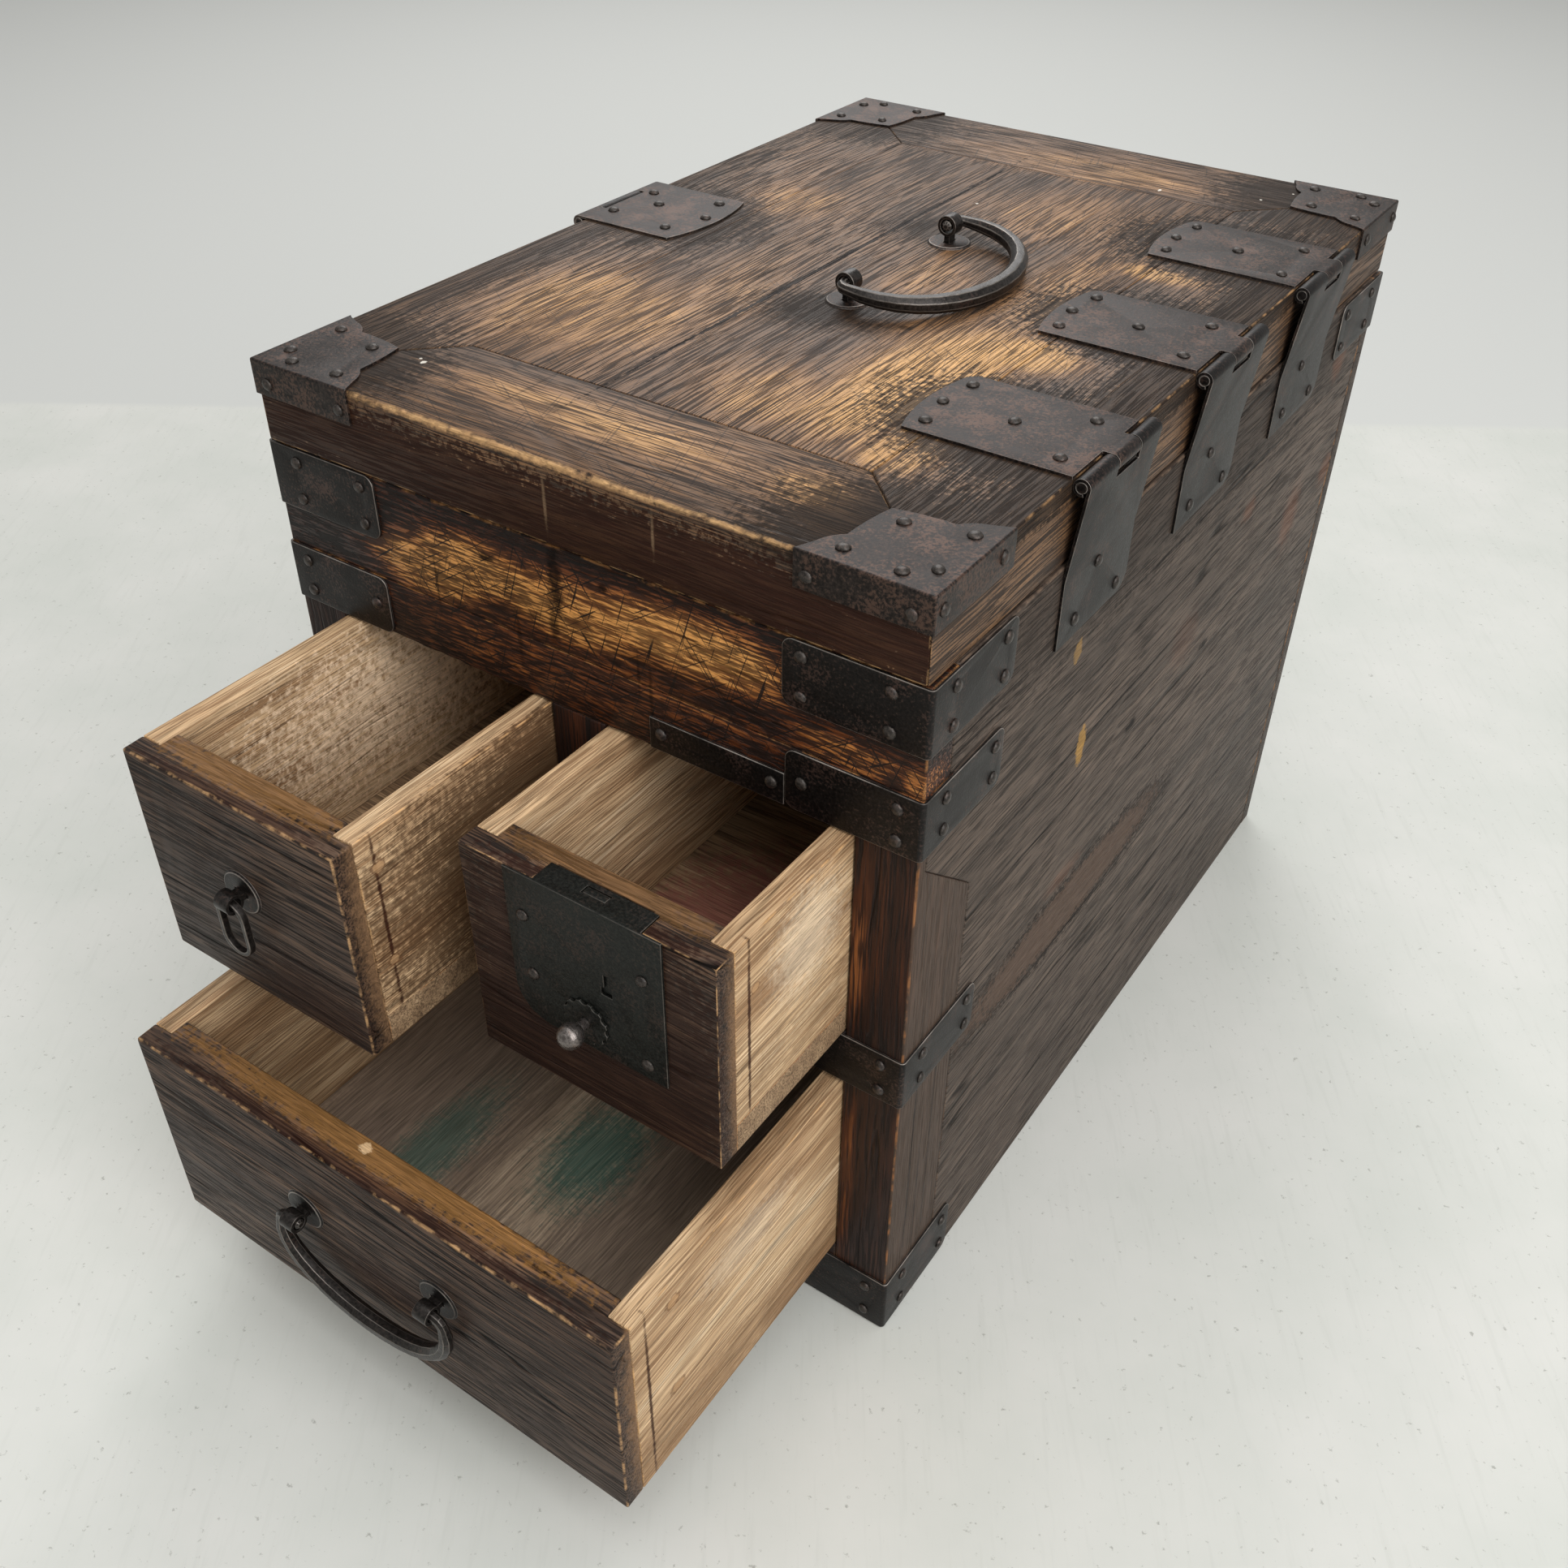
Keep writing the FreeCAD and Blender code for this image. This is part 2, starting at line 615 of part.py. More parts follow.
case_leaves, lid_leaves, pins = [], [], []
case_leaf_places, lid_leaf_places = [], []
for number in range(3):
    near = d.hinge_middle + d.hinge_pitch * (number - 1)
    case_leaves.append(case_leaf(number, near))
    lid_leaves.append(lid_leaf(number, near))
    pin = doc.addObject("Part::Cylinder", "pin_%d" % number)
    bind(pin, "Radius", d.pin_radius)
    bind(pin, "Height", d.leaf_width)
    pin.Placement = FreeCAD.Placement(Vector(hinge_x, near, hinge_z), Rotation(X_AXIS, -90))
    pins.append(pin)
    case_leaf_places += case_leaf_nails(near)
    lid_leaf_places += lid_leaf_nails(near)
punch_holes("hinge_case_leaves", together("all_case_leaves", case_leaves), case_leaf_places)
punch_holes("hinge_lid_leaves", together("all_lid_leaves", lid_leaves), lid_leaf_places)
together("hinge_pins", pins)


# ---------------------------------------------------------------- lid: mitred frame and two boards
def lid_rail(label, outer_y, inner_y):
    """A rail of the lid's frame, mitred at both ends."""
    plan = [(-lid_half, outer_y), (lid_half, outer_y),
            (lid_half - d.frame_width, inner_y), (-lid_half + d.frame_width, inner_y)]
    return prism(label, "XY_Plane", plan, lid_base, d.lid_thickness)


def lid_stile(label, side):
    plan = [(side * lid_half, lid_front), (side * lid_half, lid_back),
            (side * (lid_half - d.frame_width), lid_back - d.frame_width),
            (side * (lid_half - d.frame_width), lid_front + d.frame_width)]
    return prism(label, "XY_Plane", plan, lid_base, d.lid_thickness)


lid_rail("lid_front_rail", lid_front, lid_front + d.frame_width)
lid_rail("lid_rear_rail", lid_back, lid_back - d.frame_width)
lid_stile("lid_stile_left", LEFT)
lid_stile("lid_stile_right", RIGHT)
panel_base = lid_top - d.panel_thickness
together("lid_panels", [
    between("panel_left", (-lid_half + d.frame_width, lid_front + d.frame_width, panel_base),
            (d.panel_seam, lid_back - d.frame_width, lid_top)),
    between("panel_right", (d.panel_seam, lid_front + d.frame_width, panel_base),
            (lid_half - d.frame_width, lid_back - d.frame_width, lid_top))])


def lid_corner_plate(name):
    """Sheet iron over a corner of the lid: a scalloped leaf on top and a fold down each edge."""
    outer_x, outer_y = lid_half + d.sheet, lid_front - d.sheet
    leg, tip, waist = d.lid_plate_leg, d.lid_plate_tip, d.lid_plate_waist
    bay = leg - tip + 2
    top = [(outer_x - leg, outer_y), (outer_x, outer_y), (outer_x, outer_y + leg),
           (outer_x - waist * 0.45, outer_y + leg - 3, 14.0),
           (outer_x - waist, outer_y + tip + 2.5, 90.0), (outer_x - tip, outer_y + tip, 90.0),
           (outer_x - tip - 2.5, outer_y + waist, 14.0), (outer_x - leg + 3, outer_y + waist * 0.45)]
    body = prism(name, "XY_Plane", top, lid_top, d.sheet)
    fold = [(outer_x - leg, outer_y), (outer_x, outer_y), (outer_x, outer_y + leg),
            (lid_half, outer_y + leg), (lid_half, lid_front), (outer_x - leg, lid_front)]
    pad(body, "XY_Plane", fold, lid_top - d.lid_plate_fold, d.lid_plate_fold + d.sheet, "fold")

    def along_the_bends(edge):
        middle = edge.CenterOfMass
        on_top = middle.z > lid_top + d.sheet * 0.9
        on_front = abs(middle.y - outer_y) < 0.01 and on_top
        on_side = abs(middle.x - outer_x) < 0.01 and on_top
        upright = abs(middle.x - outer_x) < 0.01 and abs(middle.y - outer_y) < 0.01
        return on_front or on_side or upright

    round_edges(body, 0.8, along_the_bends)
    return body


def lid_plate_nails():
    """Five nails on top, two on each fold, on the right front corner."""
    outer_x, outer_y = lid_half + d.sheet, lid_front - d.sheet
    top = lid_top + d.sheet
    places = [((outer_x - a, outer_y + b, top), Z_AXIS)
              for a, b in ((29, 31), (35.5, 8), (8, 36), (15, 6.5), (7, 13))]
    places += [((outer_x - a, outer_y, lid_top - 7.3), -Y_AXIS) for a in (7.5, 43)]
    places += [((outer_x, outer_y + a, lid_top - 5.4), X_AXIS) for a in (5, 40)]
    return places


lid_plate = lid_corner_plate("lid_plate")
lid_plate_left = mirrored("lid_plate_left", lid_plate, X_AXIS)
lid_centre = Vector(0, float(d.lid_shift), 0)
lid_plate_rear = mirrored("lid_plate_rear", lid_plate, Y_AXIS, lid_centre)
lid_plate_rear_left = mirrored("lid_plate_rear_left", lid_plate_rear, X_AXIS)
lid_plate_places = lid_plate_nails()
lid_plate_places += on_the_other_side(lid_plate_places, flip_y=True, middle_y=float(d.lid_shift))
lid_plate_places = both_sides(lid_plate_places)
punch_holes("lid_corner_plates",
            together("all_lid_plates", [lid_plate, lid_plate_left, lid_plate_rear, lid_plate_rear_left]),
            lid_plate_places)


# ---------------------------------------------------------------- hasp on the left side
hasp_near = d.hasp_middle - d.hasp_width / 2
hasp_far = d.hasp_middle + d.hasp_width / 2
hasp_centre = (-hinge_x, hinge_z)
hasp_knuckle = 14.0


def hasp_leaf():
    """The plate on the lid that carries the hasp, rolled into the two outer knuckles."""
    leaf_end = -lid_half + d.hasp_width - 6
    profile = rolled_eye(
        hasp_centre, 90, 345,
        leaf_inner=[(leaf_end, lid_top)],
        leaf_outer=[(leaf_end, lid_top + d.hinge_sheet)],
        reverse=False)
    body = prism("hasp_leaf_plain", "XZ_Plane", profile, hasp_near, d.hasp_width)
    notch = rectangle(-hinge_x - 2 * d.barrel_radius, hinge_z - 2 * d.barrel_radius,
                      -lid_half + 0.2, lid_top + 2 * d.barrel_radius)
    pocket(body, "XZ_Plane", notch, hasp_near + hasp_knuckle, d.hasp_width - 2 * hasp_knuckle, "notch")
    bow = 5.0
    bow_radius = (d.hasp_width * d.hasp_width / 4 + bow * bow) / (2 * bow)
    end_line = [(leaf_end + 1, hasp_far + 1), (leaf_end - bow, hasp_far + 1),
                (leaf_end - bow, hasp_far, -bow_radius), (leaf_end - bow, hasp_near),
                (leaf_end - bow, hasp_near - 1), (leaf_end + 1, hasp_near - 1)]
    pocket(body, "XY_Plane", end_line, lid_top - 1, d.hinge_sheet + 2, "bowed_end")
    return body


def hasp_nails():
    spots = ((5, 14), (5, -14), (16, 3.5), (36, -18), (43, 1), (37, 19))
    return [((-lid_half + inward, d.hasp_middle + along, lid_top + d.hinge_sheet), Z_AXIS)
            for inward, along in spots]


punch_holes("hasp_leaf", hasp_leaf(), hasp_nails())
hasp_pin = doc.addObject("Part::Cylinder", "hasp_pin")
bind(hasp_pin, "Radius", d.pin_radius)
bind(hasp_pin, "Height", d.hasp_width)
hasp_pin.Placement = FreeCAD.Placement(Vector(-hinge_x, hasp_near, hinge_z), Rotation(X_AXIS, -90))


def hasp():
    """The hanging strap with a slot near its foot. It is drawn hanging straight, then swung out."""
    foot = hinge_z - d.hasp_drop
    outer_x = -hinge_x - d.barrel_radius
    profile = rolled_eye(
        hasp_centre, 180, -75,
        leaf_inner=[(outer_x + d.hinge_sheet, foot)],
        leaf_outer=[(outer_x, foot)],
        reverse=True)
    start = hasp_near + hasp_knuckle + d.knuckle_play
    width = d.hasp_width - 2 * hasp_knuckle - 2 * d.knuckle_play
    body = prism("hasp", "XZ_Plane", profile, start, width)
    slot = rectangle(d.hasp_middle - 4.0, foot + 11, d.hasp_middle + 4.0, foot + 31)
    pocket(body, "YZ_Plane", slot, outer_x - 2, Size(6.0, "6"), "slot")

    def at_the_foot(edge):
        return abs(edge.CenterOfMass.z - foot) < 0.01 and edge.Length < d.hinge_sheet * 1.5

    round_edges(body, 9.0, at_the_foot)
    body.Placement = FreeCAD.Placement(Vector(), Rotation(Y_AXIS, float(d.hasp_tilt)),
                                       Vector(-hinge_x, 0, hinge_z))
    return body


hasp()


def staple():
    """A bent bar whose loop the hasp's slot passes over, its two legs driven into the side."""
    reach = 15.0
    middle_z = hinge_z - d.hasp_drop + 21
    outer, inner = 7.5, 4.5
    bend_x = -half_width - reach + outer
    profile = [(-half_width + 8, middle_z - outer), (-half_width + 8, middle_z - inner),
               (bend_x, middle_z - inner, -inner), (bend_x - inner, middle_z, -inner),
               (bend_x, middle_z + inner), (-half_width + 8, middle_z + inner),
               (-half_width + 8, middle_z + outer), (bend_x, middle_z + outer, outer),
               (bend_x - outer, middle_z, outer), (bend_x, middle_z - outer)]
    bar = prism("staple_bar", "XZ_Plane", profile, d.hasp_middle - 1.5, Size(3.0, "3"))
    plate = between("staple_plate_plain", (-half_width - d.sheet, d.hasp_middle - 13, middle_z - 15),
                    (-half_width, d.hasp_middle + 13, middle_z + 15))
    slots = [between("staple_slot_%d" % n, (-half_width - 2, d.hasp_middle - 1.5, middle_z + low),
                     (-half_width + 1, d.hasp_middle + 1.5, middle_z + low + 3))
             for n, low in enumerate((-outer, inner))]
    places = [((-half_width - d.sheet, d.hasp_middle + a, middle_z + b), -X_AXIS)
              for a in (-9, 9) for b in (-11, 11)]
    plate = cut("staple_plate_slotted", plate, together("staple_slots", slots))
    together("hasp_staple", [bar, punch_holes("staple_plate", plate, places)])
    return places


staple_places = staple()

nails("case_nails", strap_places + plate_places + striker_places + case_leaf_places + staple_places)
nails("lid_nails", lid_leaf_places + lid_plate_places + hasp_nails())


# ---------------------------------------------------------------- handles
def eye_post(name, thickness, centre_z, eye, hole):
    """A split pin: a strip rolled into an eye, its two legs driven through and clinched behind.

    Drawn standing on z = 0 with the eye's hole along Y; the clinched tails lie at z = -thickness.
    """
    leg = 1.3
    shoulder = math.sqrt(float(eye) ** 2 - leg ** 2)
    body = doc.addObject("PartDesign::Body", name)
    sketch = sketch_on(body, "XZ_Plane", d.eye_width / 2, "eye")
    sketch.addGeometry(Part.Circle(Vector(0, float(centre_z), 0), Z_AXIS, float(eye)), False)
    sketch.addGeometry(Part.Circle(Vector(0, float(centre_z), 0), Z_AXIS, float(hole)), False)
    sketch.addConstraint(Sketcher.Constraint("Coincident", 0, 3, 1, 3))
    sketch.addConstraint(Sketcher.Constraint("PointOnObject", 0, 3, -2))
    height = sketch.addConstraint(Sketcher.Constraint("DistanceY", -1, 1, 0, 3, float(centre_z)))
    sketch.setExpression("Constraints[%d]" % height, centre_z.formula)
    for geometry, radius in ((0, eye), (1, hole)):
        number = sketch.addConstraint(Sketcher.Constraint("Radius", geometry, float(radius)))
        sketch.setExpression("Constraints[%d]" % number, radius.formula)
    loop = body.newObject("PartDesign::Pad", "loop")
    loop.Profile = sketch
    bind(loop, "Length", d.eye_width)
    loop.Reversed = True
    tail, gauge = 11.0, 1.2
    legs = [(-leg, -thickness), (-tail, -thickness), (-tail, -thickness - gauge),
            (tail, -thickness - gauge), (tail, -thickness), (leg, -thickness),
            (leg, centre_z - shoulder + 0.6), (-leg, centre_z - shoulder + 0.6)]
    pad(body, "XZ_Plane", legs, -d.eye_width / 2 + 0.8, d.eye_width - 1.6, "legs")
    return body


def washer(name, radius):
    """A thin dished disc under an eye, drawn flat on z = 0."""
    disc = doc.addObject("Part::Cone", name)
    bind(disc, "Radius1", radius)
    bind(disc, "Radius2", radius - 0.9)
    bind(disc, "Height", Size(0.9, "0.9"))
    return disc


def copy_at(name, source, placement):
    """A separate solid equal to the source, put where the placement says."""
    doc.recompute()
    shape = source.Shape.copy()
    shape.Placement = placement.multiply(shape.Placement)
    return plain_feature(name, shape)


def bail(span, reach, thick, thin):
    """A forged bail as one tapering eight-sided bar, drawn in XY with its eyes on the Y axis.

    Each end turns in through its eye and stops, rounded off, just inside it.
    """
    half = float(span) / 2
    eye_half = float(d.eye_width) / 2
    elbow, bulge = 3.6, 3.2
    shoulder = half + eye_half + 0.6 + elbow
    stations = [(0, half - eye_half - 0.9, 90, 1.1), (0, half - eye_half, 90, thin),
                (0, shoulder - elbow, 90, thin)]
    for degrees in (30, 60):
        turn = math.radians(degrees)
        stations.append((elbow - elbow * math.cos(turn), shoulder - elbow + elbow * math.sin(turn),
                         90 - degrees, thin))
    steps = 9

    def centre_line(share):
        angle = math.radians(90 * share)
        return (elbow + (reach - elbow) * math.sin(angle),
                shoulder * math.cos(angle) + bulge * math.sin(2 * angle))

    for step in range(steps + 1):
        share = step / steps
        x, y = centre_line(share)
        before, after = centre_line(share - 0.01), centre_line(share + 0.01)
        heading = math.degrees(math.atan2(after[1] - before[1], after[0] - before[0]))
        swell = math.sin(math.radians(90 * share)) ** 0.6
        stations.append((x, y, -90 if step == steps else heading, thin + (thick - thin) * swell))
    far_side = [(x, -y, -180 - heading, radius) for x, y, heading, radius in reversed(stations[:-1])]
    sections = []
    for x, y, heading, radius in stations + far_side:
        corners = corners_round(radius, 0, 8, 0.5)
        section = Part.makePolygon(corners + corners[:1])
        spin = Rotation(Z_AXIS, heading).multiply(Rotation(Y_AXIS, 90))
        section.Placement = FreeCAD.Placement(Vector(x, y, 0), spin)
        sections.append(section)
    return Part.makeLoft(sections, True, True)


# Lid handle: it lies over to the right and its eyes stand near the middle of the lid.
handle_places = [FreeCAD.Placement(
    Vector(d.lid_handle_offset, d.lid_handle_middle + side * d.lid_handle_span / 2, lid_top), Rotation())
    for side in (-1, 1)]
lid_post = eye_post("lid_post_pattern", d.panel_thickness, d.lid_eye_height, d.lid_eye_radius,
                    d.lid_eye_hole)
lid_washer = washer("lid_washer_pattern", d.washer_radius)
washer_slot = Part.makeBox(2.8, float(d.eye_width), 4, Vector(-1.4, -float(d.eye_width) / 2, -1))
slotted_washer = cut("slotted_washer", lid_washer, plain_feature("washer_slot", washer_slot))
together("lid_handle_posts", [copy_at("lid_post_%d" % n, lid_post, place)
                              for n, place in enumerate(handle_places)])
together("lid_handle_washers", [copy_at("lid_washer_%d" % n, slotted_washer, place)
                                for n, place in enumerate(handle_places)])
lid_handle = plain_feature("lid_handle", bail(d.lid_handle_span, d.lid_handle_reach, 3.9, 2.3))
lid_handle.Placement = FreeCAD.Placement(
    Vector(d.lid_handle_offset, d.lid_handle_middle, lid_top + d.lid_eye_height),
    Rotation(Y_AXIS, float(d.lid_handle_rest)))


# ---------------------------------------------------------------- drawers
def drawer(name, low_x, high_x, low_z, high_z, pull, floor):
    """A lapped drawer: the sides lie in rebates of the thick front, the back between them.

    With a thick floor the sides stand on it; with none a thin base lies between the sides.
    """
    front_y = front_face - pull
    lap_y = front_y + d.drawer_lap
    inside_y = front_y + d.drawer_front_thickness
    rear_y = front_y + d.drawer_length
    side_low_z = low_z + floor
    inner_low_x, inner_high_x = low_x + d.drawer_side, high_x - d.drawer_side
    lapped = [(high_x, lap_y), (inner_high_x, lap_y), (inner_high_x, inside_y),
              (inner_low_x, inside_y), (inner_low_x, lap_y), (low_x, lap_y)]
    front = prism(name + "_front", "XY_Plane", [(low_x, front_y), (high_x, front_y)] + lapped,
                  low_z, high_z - low_z)
    together(name + "_sides", [
        between(name + "_side_left", (low_x, lap_y, side_low_z), (inner_low_x, rear_y, high_z)),
        between(name + "_side_right", (inner_high_x, lap_y, side_low_z), (high_x, rear_y, high_z))])
    between(name + "_back", (inner_low_x, rear_y - d.drawer_side, side_low_z),
            (inner_high_x, rear_y, high_z))
    if floor > 0:
        prism(name + "_base", "XY_Plane", [(low_x, rear_y), (high_x, rear_y)] + lapped, low_z, floor)
    else:
        between(name + "_base", (inner_low_x, inside_y, low_z),
                (inner_high_x, rear_y - d.drawer_side, low_z + d.drawer_base))
    return front, front_y


small_low, small_high = shelf_top + d.drawer_gap, small_top - d.drawer_gap * 1.6
outer_edge = opening_half - d.drawer_gap
inner_edge = d.divider_width / 2 + d.drawer_gap
left_front, left_y = drawer("drawer_left", -outer_edge, -inner_edge, small_low, small_high,
                            d.left_pull, d.drawer_floor)
right_front, right_y = drawer("drawer_right", inner_edge, outer_edge, small_low, small_high,
                              d.right_pull, d.drawer_floor)
wide_front, wide_y = drawer("drawer_wide", -outer_edge, outer_edge, d.base_rail_height + d.drawer_gap,
                            wide_top - d.drawer_gap * 2, d.wide_pull, 0)

# The eyes on the drawer fronts are the same split pins, turned to stand out of the front.
out_of_front = Rotation(X_AXIS, 90).multiply(Rotation(Z_AXIS, 90))
front_post_pattern = eye_post("front_post_pattern", d.drawer_front_thickness, d.eye_height,
                              d.eye_radius, d.eye_hole)


def on_front(x, y, z):
    return FreeCAD.Placement(Vector(x, y, z), out_of_front)


# Left drawer: one eye with an oval ring bent from flat strip.
ring_place = on_front(d.ring_offset, left_y, d.ring_height)
copy_at("ring_post", front_post_pattern, ring_place)
copy_at("ring_washer", slotted_washer, ring_place)


def ring():
    """An oval ring of flat strip hanging in the eye, drawn about its upper inner edge."""
    half_wide, straight, gauge, strip = 7.0, 11.0, 1.7, 2.8
    top = d.eye_hole * 0.35
    centre_x = d.ring_offset
    upper = d.ring_height + top - half_wide
    lower = upper - straight

    def oval(radius):
        return [(centre_x - radius, lower, radius), (centre_x, lower - radius, radius),
                (centre_x + radius, lower), (centre_x + radius, upper, radius),
                (centre_x, upper + radius, radius), (centre_x - radius, upper)]

    body = prism("ring", "XZ_Plane", oval(half_wide), left_y - d.eye_height - strip / 2, strip)
    pocket(body, "XZ_Plane", oval(half_wide - gauge), left_y - d.eye_height - strip, 2 * strip, "eye")
    return body


ring()

# Wide drawer: two eyes and a hanging bail.
pull_places = [on_front(d.pull_offset + side * d.pull_span / 2, wide_y, d.pull_height)
               for side in (-1, 1)]
together("pull_posts", [copy_at("pull_post_%d" % n, front_post_pattern, place)
                        for n, place in enumerate(pull_places)])
together("pull_washers", [copy_at("pull_washer_%d" % n, slotted_washer, place)
                          for n, place in enumerate(pull_places)])
drawer_pull = plain_feature("drawer_pull", bail(d.pull_span, d.pull_reach, 3.7, 2.0))
drawer_pull.Placement = FreeCAD.Placement(
    Vector(d.pull_offset, wide_y - d.eye_height, d.pull_height),
    Rotation(Z_AXIS * -1, X_AXIS, Y_AXIS * -1, "XYZ"))

# ---------------------------------------------------------------- lock of the right drawer
lock_low = small_high - d.lock_height
lock_right = d.lock_left + d.lock_width
tab_top = small_high + 0.2
tab_low = tab_top - d.sheet
tab_back = right_y + 9.0
tab_left, tab_right = d.lock_left + 12, lock_right - 8
case_left, case_right = d.bolt_offset - 19, d.bolt_offset + 19
case_low = lock_low + 22
bolt_y = right_y + d.bolt_set_back


def lock_plate():
    """Sheet iron on the drawer's face, folded back over its top edge round the bolt's slot."""
    corner = d.lock_corner
    face = [(d.lock_left, lock_low + corner, corner), (d.lock_left + corner, lock_low),
            (lock_right, lock_low), (lock_right, tab_top), (d.lock_left, tab_top)]
    body = prism("lock_plate_plain", "XZ_Plane", face, right_y - d.sheet, d.sheet)
    pad(body, "XY_Plane", rectangle(tab_left, right_y - d.sheet, tab_right, tab_back),
        tab_low, d.sheet, "tab")
    slot = d.bolt_width / 2 + 0.3
    pocket(body, "XY_Plane", rectangle(d.bolt_offset - slot, bolt_y - 1.8, d.bolt_offset + slot,
                                       bolt_y + 1.8), tab_low - 1, d.sheet + 2, "bolt_slot")
    key_x, key_z = d.bolt_offset + 6.6, lock_low + 32
    keyhole = rectangle(key_x - 0.9, key_z - 3.5, key_x + 0.9, key_z + 5.5)
    pocket(body, "XZ_Plane", keyhole, right_y - 2 * d.sheet, 3 * d.sheet, "keyhole")
    bow = rectangle(key_x - 2.2, key_z - 3.5, key_x + 2.2, key_z - 0.2)
    pocket(body, "XZ_Plane", bow, right_y - 2 * d.sheet, 3 * d.sheet, "key_bow")
    hole = d.knob_shank + 0.05
    pocket(body, "XZ_Plane", rectangle(d.knob_offset - hole, d.knob_height - hole,
                                       d.knob_offset + hole, d.knob_height + hole),
           right_y - 2 * d.sheet, 3 * d.sheet, "knob_hole")
    return body


lock_places = [((d.lock_left + a, right_y - d.sheet, lock_low + b), -Y_AXIS)
               for a, b in ((6.7, 46), (54.5, 44), (8.5, 21), (55, 6.5))]
punch_holes("lock_plate", lock_plate(), lock_places)
nails("lock_nails", lock_places)
pocket(right_front, "XZ_Plane", rectangle(case_left - 0.2, case_low - 0.2, case_right + 0.2,
                                          small_high + 1), right_y - 1, Size(11.0, "11"), "lock_recess")
pocket(right_front, "XZ_Plane", rectangle(tab_left - 0.2, tab_low, tab_right + 0.2, small_high + 1),
       right_y - 1, Size(10.2, "10.2"), "tab_recess")
lock_block = between("lock_block", (case_left, right_y, case_low), (case_right, right_y + 9.8, tab_low))
bolt_half = d.bolt_width / 2
channel = between("lock_channel", (d.bolt_offset - bolt_half - 0.2, bolt_y - 1.7, tab_low - 24),
                  (d.bolt_offset + bolt_half + 0.2, bolt_y + 1.7, tab_low + 1))
cut("lock_case", lock_block, channel)
between("lock_bolt", (d.bolt_offset - bolt_half, bolt_y - d.bolt_thickness / 2, tab_low - 16),
        (d.bolt_offset + bolt_half, bolt_y + d.bolt_thickness / 2, tab_top - 0.2))


def knob_rosette():
    """A thin disc with twelve scallops round its rim."""
    body = doc.addObject("PartDesign::Body", "knob_rosette")
    sketch = sketch_on(body, "XY_Plane", 0, "disc")
    for number, radius in enumerate((9.3, d.knob_shank + 0.05)):
        sketch.addGeometry(Part.Circle(Vector(0, 0, 0), Z_AXIS, float(radius)), False)
        sketch.addConstraint(Sketcher.Constraint("Coincident", number, 3, -1, 1))
        sketch.addConstraint(Sketcher.Constraint("Radius", number, float(radius)))
    disc = body.newObject("PartDesign::Pad", "disc_pad")
    disc.Profile = sketch
    disc.Length = 1.1
    scallop = sketch_on(body, "XY_Plane", -1, "scallop")
    scallop.addGeometry(Part.Circle(Vector(10.2, 0, 0), Z_AXIS, 1.9), False)
    bite = body.newObject("PartDesign::Pocket", "bite")
    bite.Profile = scallop
    bite.Length = 4
    bite.Reversed = True
    pattern = body.newObject("PartDesign::PolarPattern", "scallops")
    pattern.Originals = [bite]
    pattern.Axis = (sketch, ["N_Axis"])
    pattern.Angle = 360
    pattern.Occurrences = 12
    body.Tip = pattern
    body.Placement = FreeCAD.Placement(Vector(d.knob_offset, right_y - d.sheet, d.knob_height),
                                       Rotation(X_AXIS, 90))
    return body


def drawer_knob():
    """A turned ball on a short neck, its shank driven through the front.

    The ball is eight narrow turned bands, too fine to see at its size.
    """
    body = doc.addObject("PartDesign::Body", "drawer_knob")
    sketch = sketch_on(body, "XZ_Plane", 0, "half")
    ball, neck, height, bands = 4.6, 2.1, 8.2, 8
    lowest = -math.acos(neck / ball)
    angles = [lowest + (math.pi / 2 - lowest) * step / bands for step in range(bands)]
    outline(sketch, [(0, -14.0), (d.knob_shank, -14.0), (d.knob_shank, 1.1), (neck, 1.1)]
            + [(ball * math.cos(angle), height + ball * math.sin(angle)) for angle in angles]
            + [(0, height + ball)])
    turned = body.newObject("PartDesign::Revolution", "turned")
    turned.Profile = sketch
    turned.ReferenceAxis = (sketch, ["V_Axis"])
    turned.Angle = 360
    body.Placement = FreeCAD.Placement(Vector(d.knob_offset, right_y - d.sheet, d.knob_height),
                                       Rotation(X_AXIS, 90))
    return body


knob_rosette()
drawer_knob()

# ---------------------------------------------------------------- check and write
NODES = [
    "side_board_left", "side_board_right", "front_post_left", "front_post_right",
    "upper_front_board", "top_rail", "middle_rail", "bottom_rail", "divider_post", "back_board",
    "bottom_board", "drawer_shelf", "drawer_partition", "compartment_floor", "drawer_runners",
    "corner_plates", "front_straps", "striker_plate", "hinge_case_leaves",
    "hinge_pins", "hasp_staple", "case_nails",
    "lid_front_rail", "lid_rear_rail", "lid_stile_left", "lid_stile_right", "lid_panels",
    "lid_corner_plates", "hinge_lid_leaves", "hasp_leaf", "hasp_pin", "lid_nails",
    "lid_handle_posts", "lid_handle_washers", "lid_handle", "hasp",
    "drawer_left_front", "drawer_left_sides", "drawer_left_back", "drawer_left_base",
    "ring_post", "ring_washer", "ring",
    "drawer_right_front", "drawer_right_sides", "drawer_right_back", "drawer_right_base",
    "lock_plate", "lock_case", "lock_bolt", "lock_nails", "knob_rosette", "drawer_knob",
    "drawer_wide_front", "drawer_wide_sides", "drawer_wide_back", "drawer_wide_base",
    "pull_posts", "pull_washers", "drawer_pull",
]

